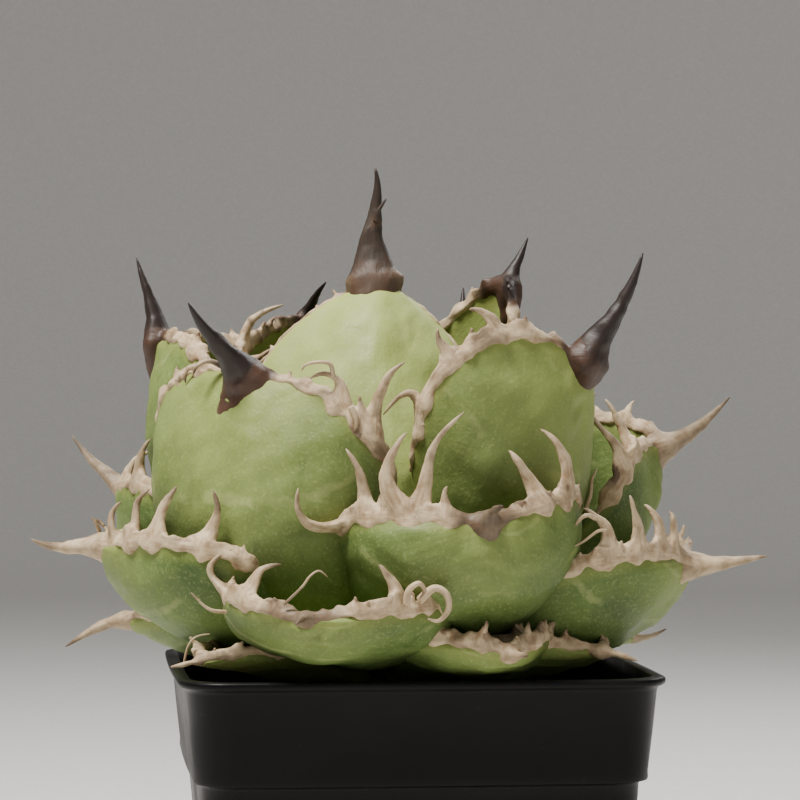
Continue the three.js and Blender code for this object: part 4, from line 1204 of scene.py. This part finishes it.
def build_bud():
    """The rolled cone, with the edge of its outermost leaf as a seam and a groove that wind round it."""
    rings = []
    for share in np.linspace(0, 1, 90):
        angle = np.linspace(0, 2 * math.pi, 72, endpoint=False)
        radius = BUD_RADIUS * (1 - share) ** 0.55 * (1 - 0.3 * share) + BUD_TIP_RADIUS
        radius *= mix(0.8, 1, ease(0, 0.2, share))
        turn = angle - share * BUD_WINDING
        seam = 1 + 0.12 * np.cos(turn)
        groove = 0.5 * np.exp(-(((turn + 2.4) % (2 * math.pi) - math.pi) / 0.12) ** 2)
        r = radius * seam - groove * ease(1, 0.8, share)
        x = r * np.cos(angle) + BUD_ASIDE * share
        y = r * np.sin(angle) + BUD_LEAN * share**1.5
        rings.append(np.stack((x, y, mix(BUD_FOOT, BUD_TOP, share) + 0 * angle), -1))
    points, faces = loft(rings)
    bud = mesh_object("agave_bud", points, faces)
    share = (points[:, 2] - BUD_FOOT) / (BUD_TOP - BUD_FOOT)
    around = np.arctan2(points[:, 1], points[:, 0]) / (2 * math.pi) + 0.5
    add_vector(bud.data, "chart", np.stack((around, share, 0 * share), -1))
    add_number(bud.data, "margin", 9.0)
    add_number(bud.data, "age", 0.0)
    return bud


def build_bud_spine():
    """The dark spine on the rolled cone."""
    share = np.linspace(0, 1, BUD_SPINE_STEPS)
    y = BUD_LEAN + 1.2 * share + 0.3 * np.sin(5 * share)
    path = np.stack((BUD_ASIDE + 0 * share, y, BUD_TOP + BUD_SPINE_LENGTH * share), -1)
    size = BUD_TIP_RADIUS * (1 - share) ** 0.8 + 0.12
    rings = horn_rings(path, size, size, np.array((1.0, 0, 0)), 0.06, SPINE_SIDES)
    spine = mesh_object("agave_bud_spine", *loft(rings))
    long = np.repeat(share, SPINE_SIDES)
    across = np.tile(np.arange(SPINE_SIDES) / 3, len(share))
    add_vector(spine.data, "grain", np.stack((across, long * 10, 0 * long), -1))
    for name, value in {"tip": long, "spine": 1.0, "hollow": 0.0, "dark": 1.0}.items():
        add_number(spine.data, name, value)
    return spine


# Colours and materials


def paint(red, green, blue):
    """A linear colour from its everyday 0 to 255 values."""
    shares = [v / 255 for v in (red, green, blue)]
    linear = [((v + 0.055) / 1.055) ** 2.4 if v > 0.04 else v / 12.92 for v in shares]
    return (*linear, 1.0)


class Nodes:
    """Adds nodes to a material or a group, with their inputs given by name or number."""

    def __init__(self, tree):
        self.tree = tree

    def add(self, kind, inputs=None, **settings):
        made = self.tree.nodes.new(kind)
        for name, value in settings.items():
            setattr(made, name, value)
        for name, value in (inputs or {}).items():
            self.give(made.inputs[name], value)
        return made

    def give(self, socket, value):
        if isinstance(value, bpy.types.NodeSocket):
            self.tree.links.new(value, socket)
        else:
            socket.default_value = value

    def noise(self, vector, scale, detail=3.0, roughness=0.5):
        inputs = {"Vector": vector, "Scale": scale, "Detail": detail, "Roughness": roughness}
        return self.add("ShaderNodeTexNoise", inputs).outputs["Fac"]

    def math(self, operation, a, b=0.0):
        return self.add("ShaderNodeMath", {0: a, 1: b}, operation=operation).outputs[0]

    def between(self, value, low, high, to_low=0.0, to_high=1.0):
        inputs = {"Value": value, "From Min": low, "From Max": high, "To Min": to_low, "To Max": to_high}
        return self.add("ShaderNodeMapRange", inputs, interpolation_type="SMOOTHSTEP").outputs["Result"]

    def blend(self, factor, a, b):
        return self.add("ShaderNodeMix", {0: factor, 6: a, 7: b}, data_type="RGBA").outputs[2]

    def tinted(self, colour, mask, strength, other):
        """A colour that goes over to another where the mask is high, by its strength at most."""
        return self.blend(self.math("MULTIPLY", mask, strength), colour, other)

    def weighed(self, *shares):
        """The sum of several masks, each times its own weight."""
        total = None
        for mask, weight in shares:
            part = self.math("MULTIPLY", mask, weight)
            total = part if total is None else self.math("ADD", total, part)
        return total

    def specks(self, vector, scale, reach):
        """Small round specks, one in each cell of about 1 / scale metres, that fade at their reach."""
        cells = self.add("ShaderNodeTexVoronoi", {"Vector": vector, "Scale": scale}, feature="F1")
        return self.between(cells.outputs["Distance"], reach, 0.05)

    def stretched(self, vector, scale):
        return self.add("ShaderNodeVectorMath", {0: vector, 1: scale}, operation="MULTIPLY").outputs[0]

    def number(self, name):
        return self.add("ShaderNodeAttribute", attribute_name=name).outputs["Fac"]

    def vector(self, name):
        return self.add("ShaderNodeAttribute", attribute_name=name).outputs["Vector"]


def new_group(name, inputs):
    """A shader group: a vector and the given inputs in, and colour, roughness and height out."""
    tree = bpy.data.node_groups.new(name, "ShaderNodeTree")
    tree.interface.new_socket("Vector", in_out="INPUT", socket_type="NodeSocketVector")
    for label, kind in inputs.items():
        tree.interface.new_socket(label, in_out="INPUT", socket_type="NodeSocket" + kind)
    for label, kind in {"Colour": "Color", "Roughness": "Float", "Height": "Float"}.items():
        tree.interface.new_socket(label, in_out="OUTPUT", socket_type="NodeSocket" + kind)
    nodes = Nodes(tree)
    return tree, nodes, nodes.add("NodeGroupInput").outputs


def close_group(nodes, colour, roughness, height):
    nodes.add("NodeGroupOutput", {"Colour": colour, "Roughness": roughness, "Height": height})


def waxy_skin():
    """Leaf skin: green under a patchy grey-green bloom, with prints of its neighbours from the bud, paler
    in young leaves, and paler towards the apex as painted top light.
    """
    tree, nodes, given = new_group("waxy skin", {
        "Green": "Color", "Bloom": "Color", "Base": "Color", "Print": "Color", "Young and lit": "Color",
        "Chart": "Vector", "Margin": "Float", "Age": "Float", "Bloom amount": "Float",
    })
    place = given["Vector"]
    across, along, _ = nodes.add("ShaderNodeSeparateXYZ", {0: given["Chart"]}).outputs
    broad = nodes.noise(place, 70, 3, 0.55)
    middle = nodes.noise(place, 260, 4, 0.6)
    fine = nodes.noise(place, 1400, 3, 0.6)
    streaks = nodes.noise(nodes.stretched(given["Chart"], (70, 4, 1)), 1, 3, 0.6)
    bloom = nodes.between(nodes.weighed((broad, 0.9), (middle, 0.5), (streaks, 0.25)), 0.5, 1.1)
    bloom = nodes.math("MULTIPLY", bloom, given["Bloom amount"])
    colour = nodes.blend(bloom, given["Green"], given["Bloom"])
    young_leaf = nodes.between(given["Age"], 0.4, 0.0, 0.0, 0.55)
    # Paler towards the apex: painted top light on the upper end of the leaf.
    apex_painted_light = nodes.between(along, 0.5, 1.0, 0.0, 0.35)
    # The young colour is the real paleness of young leaves and also the painted top light towards the
    # apex.
    colour = nodes.blend(nodes.math("ADD", young_leaf, apex_painted_light), colour, given["Young and lit"])
    colour = nodes.blend(nodes.between(along, 0.3, 0.05), colour, given["Base"])
    side = nodes.math("ABSOLUTE", nodes.math("SUBTRACT", across, 0.5))
    bands = nodes.weighed((along, 1.0), (nodes.math("POWER", side, 1.7), 0.9), (middle, 0.05))
    line = nodes.math("SINE", nodes.math("MULTIPLY", bands, 19.0))
    bud_print = nodes.math("MULTIPLY", nodes.between(line, 0.93, 1.0), nodes.between(broad, 0.42, 0.62))
    colour = nodes.tinted(colour, bud_print, 0.28, given["Print"])
    rubbed = nodes.between(nodes.noise(nodes.stretched(place, (1, 1, 0.35)), 300, 3, 0.6), 0.6, 0.74)
    colour = nodes.tinted(colour, rubbed, 0.3, given["Green"])
    colour = nodes.tinted(colour, nodes.between(streaks, 0.5, 0.72), 0.22, given["Bloom"])
    colour = nodes.tinted(colour, nodes.between(fine, 0.52, 0.7), 0.2, given["Print"])
    colour = nodes.tinted(colour, nodes.between(given["Margin"], 4.2, 2.0), 0.3, given["Base"])
    colour = nodes.tinted(colour, nodes.specks(place, 480.0, 0.11), 0.35, given["Print"])
    roughness = nodes.between(bloom, 0.0, 0.8, 0.5, 0.7)
    height = nodes.weighed((streaks, 0.5), (fine, 0.5), (middle, 1.5))
    close_group(nodes, colour, roughness, height)
    return tree


def fibrous_horn():
    """Horn: paler on its ridges as painted highlight, browner in its hollows as painted shade, and
    browner towards the tips.
    """
    tree, nodes, given = new_group("fibrous horn", {
        "Pale": "Color", "Tan": "Color", "Brown": "Color", "Night": "Color", "Grain": "Vector",
        "Tip": "Float", "Spine": "Float", "Hollow": "Float", "Dark": "Float",
    })
    place = given["Vector"]
    broad = nodes.noise(place, 120, 3, 0.55)
    patches = nodes.noise(place, 330, 3, 0.55)
    fine = nodes.noise(place, 1500, 3, 0.6)
    fibres = nodes.noise(nodes.stretched(given["Grain"], (1.6, 0.16, 1)), 1, 3, 0.55)
    threads = nodes.noise(nodes.stretched(given["Grain"], (7, 0.5, 1)), 1, 2, 0.6)
    tone = nodes.weighed((patches, 0.6), (fibres, 0.4))
    colour = nodes.blend(nodes.between(tone, 0.32, 0.62), given["Tan"], given["Pale"])
    colour = nodes.tinted(colour, nodes.between(broad, 0.5, 0.72), 0.55, given["Brown"])
    # Painted shade: browner in the hollows. Painted highlight: paler on the ridges.
    colour = nodes.tinted(colour, nodes.between(given["Hollow"], 0.02, 0.24), 0.85, given["Brown"])
    colour = nodes.tinted(colour, nodes.between(given["Hollow"], -0.05, -0.3), 0.5, given["Pale"])
    ripe = nodes.between(given["Tip"], 0.5, 1.0)
    colour = nodes.tinted(colour, ripe, nodes.between(broad, 0.35, 0.6, 0.15, 0.8), given["Brown"])
    young = nodes.between(nodes.math("MULTIPLY", given["Spine"], given["Dark"]), 0.0, 0.8)
    reach = nodes.weighed((given["Tip"], 1.0), (patches, 0.5))
    deep = nodes.blend(nodes.between(reach, 0.1, 0.55), given["Brown"], given["Night"])
    colour = nodes.blend(young, colour, deep)
    pale_thread = nodes.between(threads, 0.58, 0.72)
    colour = nodes.tinted(colour, pale_thread, nodes.between(young, 0.0, 0.6, 0.14, 0.0), given["Pale"])
    roughness = nodes.between(young, 0.0, 1.0, 0.6, 0.5)
    height = nodes.weighed((fibres, 0.5), (threads, 0.2), (fine, 0.12))
    close_group(nodes, colour, roughness, height)
    return tree


def dusty_plastic():
    """Black moulded plastic with dust, dried water specks and fine scratches."""
    tree, nodes, given = new_group("dusty plastic", {
        "Plastic": "Color", "Dust": "Color", "Dust amount": "Float",
    })
    place = given["Vector"]
    broad = nodes.noise(place, 45, 4, 0.6)
    fine = nodes.noise(place, 1800, 2, 0.5)
    scratches = nodes.noise(nodes.stretched(place, (1, 1, 14)), 90, 4, 0.7)
    few = nodes.between(nodes.noise(place, 60, 2, 0.5), 0.5, 0.6)
    scratched = nodes.between(scratches, 0.6, 0.75)
    film = nodes.between(broad, 0.42, 0.75)
    dust = nodes.weighed((film, 0.5), (nodes.specks(place, 260.0, 0.12), few), (scratched, 0.3))
    colour = nodes.tinted(given["Plastic"], dust, given["Dust amount"], given["Dust"])
    roughness = nodes.between(broad, 0.3, 0.7, 0.34, 0.52)
    height = nodes.weighed((fine, 0.5), (scratches, 0.2))
    close_group(nodes, colour, roughness, height)
    return tree


def loose_grit():
    """Dry gritty soil and old stem bark: mixed pale and dark grains."""
    tree, nodes, given = new_group("loose grit", {"Light": "Color", "Dark": "Color", "Pebble": "Color"})
    place = given["Vector"]
    cells = nodes.add("ShaderNodeTexVoronoi", {"Vector": place, "Scale": 420.0}, feature="F1")
    kind = nodes.add("ShaderNodeSeparateXYZ", {0: cells.outputs["Color"]}).outputs[0]
    fine = nodes.noise(place, 1200, 4, 0.65)
    colour = nodes.blend(nodes.between(kind, 0.2, 0.8), given["Dark"], given["Light"])
    colour = nodes.blend(nodes.between(kind, 0.86, 0.9), colour, given["Pebble"])
    colour = nodes.blend(nodes.between(fine, 0.4, 0.7, 0.0, 0.5), colour, given["Dark"])
    height = nodes.weighed((fine, 1.0), (cells.outputs["Distance"], 0.6))
    close_group(nodes, colour, nodes.between(fine, 0.3, 0.7, 0.8, 0.98), height)
    return tree


def new_material(name, group, values, bump, shine=0.5, soft=0.0):
    """A material whose colour, roughness and bump come from a group."""
    material = bpy.data.materials.new(name)
    material.use_nodes = True
    tree = material.node_tree
    nodes = Nodes(tree)
    shader = tree.nodes["Principled BSDF"]
    inside = nodes.add("ShaderNodeGroup", node_tree=group)
    nodes.give(inside.inputs["Vector"], nodes.add("ShaderNodeTexCoord").outputs["Object"])
    for label, value in values.items():
        if isinstance(value, str):
            value = nodes.vector(value) if value in ("chart", "grain") else nodes.number(value)
        nodes.give(inside.inputs[label], value)
    nodes.give(shader.inputs["Base Color"], inside.outputs["Colour"])
    nodes.give(shader.inputs["Roughness"], inside.outputs["Roughness"])
    relief_inputs = {"Height": inside.outputs["Height"], "Strength": 1.0, "Distance": bump * MM}
    raised = nodes.add("ShaderNodeBump", relief_inputs)
    nodes.give(shader.inputs["Normal"], raised.outputs["Normal"])
    shader.inputs["Specular IOR Level"].default_value = shine
    shader.inputs["Subsurface Weight"].default_value = soft
    shader.inputs["Subsurface Radius"].default_value = (1.0, 1.0, 0.4)
    shader.inputs["Subsurface Scale"].default_value = 1.5 * MM
    return material


skin, horn_look, plastic, grit = waxy_skin(), fibrous_horn(), dusty_plastic(), loose_grit()
# The young colour serves as the own colour of young leaves and as painted top light towards each apex.
leaf_inputs = {
    "Print": paint(186, 190, 126), "Young and lit": paint(160, 172, 94), "Chart": "chart", "Margin": "margin",
    "Age": "age",
}
leaf_green = new_material("leaf green", skin, {
    "Green": paint(60, 84, 32), "Bloom": paint(106, 127, 66), "Base": paint(140, 146, 70),
    "Bloom amount": 0.8, **leaf_inputs,
}, bump=0.14, shine=0.35, soft=0.06)
young_green = new_material("young leaf green", skin, {
    "Green": paint(112, 132, 56), "Bloom": paint(160, 172, 104), "Base": paint(170, 174, 92),
    "Bloom amount": 0.8, **leaf_inputs,
}, bump=0.14, shine=0.35, soft=0.08)
horn_inputs = {"Grain": "grain", "Tip": "tip", "Spine": "spine", "Hollow": "hollow", "Dark": "dark"}
horn_material = new_material("bleached horn", horn_look, {
    "Pale": paint(204, 182, 148), "Tan": paint(150, 122, 90), "Brown": paint(74, 50, 35),
    "Night": paint(34, 22, 18), **horn_inputs,
}, bump=0.18, shine=0.4)
young_horn = new_material("young dark horn", horn_look, {
    "Pale": paint(150, 116, 86), "Tan": paint(110, 76, 52), "Brown": paint(82, 50, 34),
    "Night": paint(34, 22, 17), **horn_inputs,
}, bump=0.15, shine=0.4)
pot_plastic = new_material("black pot plastic", plastic, {
    "Plastic": (0.003, 0.003, 0.0034, 1), "Dust": paint(96, 92, 86), "Dust amount": 0.06,
}, bump=0.05, shine=0.12)
soil_grit = new_material("dry gritty soil", grit, {
    "Light": paint(150, 134, 112), "Dark": paint(62, 50, 40), "Pebble": paint(196, 188, 172),
}, bump=0.6)
stem_bark = new_material("scarred stem", grit, {
    "Light": paint(176, 160, 118), "Dark": paint(112, 92, 62), "Pebble": paint(196, 184, 140),
}, bump=0.2)
floor_paint = new_material("pale studio floor", grit, {
    "Light": paint(226, 224, 220), "Dark": paint(222, 220, 216), "Pebble": paint(228, 226, 222),
}, bump=0.02)


# The parts in place

finish_piece(build_pot(), pot_plastic, "pot", "pot")
finish_piece(build_soil(soil_grit), soil_grit, "soil", "soil")
finish_piece(build_stem(), stem_bark, "stem", "stem")
finish_piece(build_bud(), young_green, "young_leaf", "bud")
finish_piece(build_bud_spine(), young_horn, "dark_horn", "bud_spine")

younger = []
for leaf in LEAVES:
    green, tree = build_green(leaf, younger)
    younger.append(tree)
    look, slot = (young_green, "young_leaf") if leaf.name == "02" else (leaf_green, "leaf")
    finish_piece(green, look, slot, f"leaf_{leaf.name}")
    horn = build_horn(leaf, COARSE_CELL if leaf.small else FUSING_CELL)
    finish_piece(horn, horn_material, "horn", f"horn_{leaf.name}")


# Studio


def build_floor():
    """A wide round floor whose edge turns up, so that it closes the view from every side."""
    angle = np.linspace(0, 2 * math.pi, 96, endpoint=False)
    profile = [(FLOOR_FLAT, 0.0)]
    for turn in np.linspace(0, math.pi / 2, 12):
        radius = FLOOR_RADIUS + FLOOR_CURVE * math.sin(turn)
        profile.append((radius, FLOOR_CURVE - FLOOR_CURVE * math.cos(turn)))
    profile.append((FLOOR_RADIUS + FLOOR_CURVE, FLOOR_TOP))
    points, faces = [(0.0, 0.0, -FLOOR_DROP)], []
    count = len(angle)
    for radius, height in profile:
        points += [(radius * math.cos(a), radius * math.sin(a), height - FLOOR_DROP) for a in angle]
    for i in range(count):
        faces.append((0, 1 + i, 1 + (i + 1) % count))
    for k in range(len(profile) - 1):
        for i in range(count):
            a, b = 1 + k * count + i, 1 + k * count + (i + 1) % count
            faces.append((a, a + count, b + count, b))
    mesh = bpy.data.meshes.new("floor")
    mesh.from_pydata(points, [], faces)
    shade_smooth(mesh)
    mesh.materials.append(floor_paint)
    floor = bpy.data.objects.new("floor", mesh)
    bpy.context.scene.collection.objects.link(floor)


def add_lamp(name, place, size, power, warmth):
    """A square soft lamp that points at the middle of the plant."""
    lamp = bpy.data.lights.new(name, "AREA")
    lamp.size = size
    lamp.energy = power
    lamp.color = warmth
    holder = bpy.data.objects.new(name, lamp)
    holder.location = place
    holder.rotation_euler = (Vector(LAMP_AIM) - Vector(place)).to_track_quat("-Z", "Y").to_euler()
    bpy.context.scene.collection.objects.link(holder)


build_floor()
for lamp_values in LAMPS:
    add_lamp(*lamp_values)

world = bpy.data.worlds.new("studio air")
world.use_nodes = True
background = world.node_tree.nodes["Background"]
background.inputs["Color"].default_value = AIR_COLOUR
background.inputs["Strength"].default_value = AIR_STRENGTH
bpy.context.scene.world = world

camera = bpy.data.cameras.new("camera")
camera.lens = CAMERA_LENS
camera.sensor_width = SENSOR_WIDTH
camera.clip_start = CAMERA_NEAR
eye = bpy.data.objects.new("camera", camera)
eye.location = (CAMERA_ASIDE * MM, -CAMERA_DISTANCE * MM, CAMERA_HEIGHT * MM)
eye.rotation_euler = (math.pi / 2, 0, 0)
bpy.context.scene.collection.objects.link(eye)
bpy.context.scene.camera = eye

bpy.context.view_layer.update()
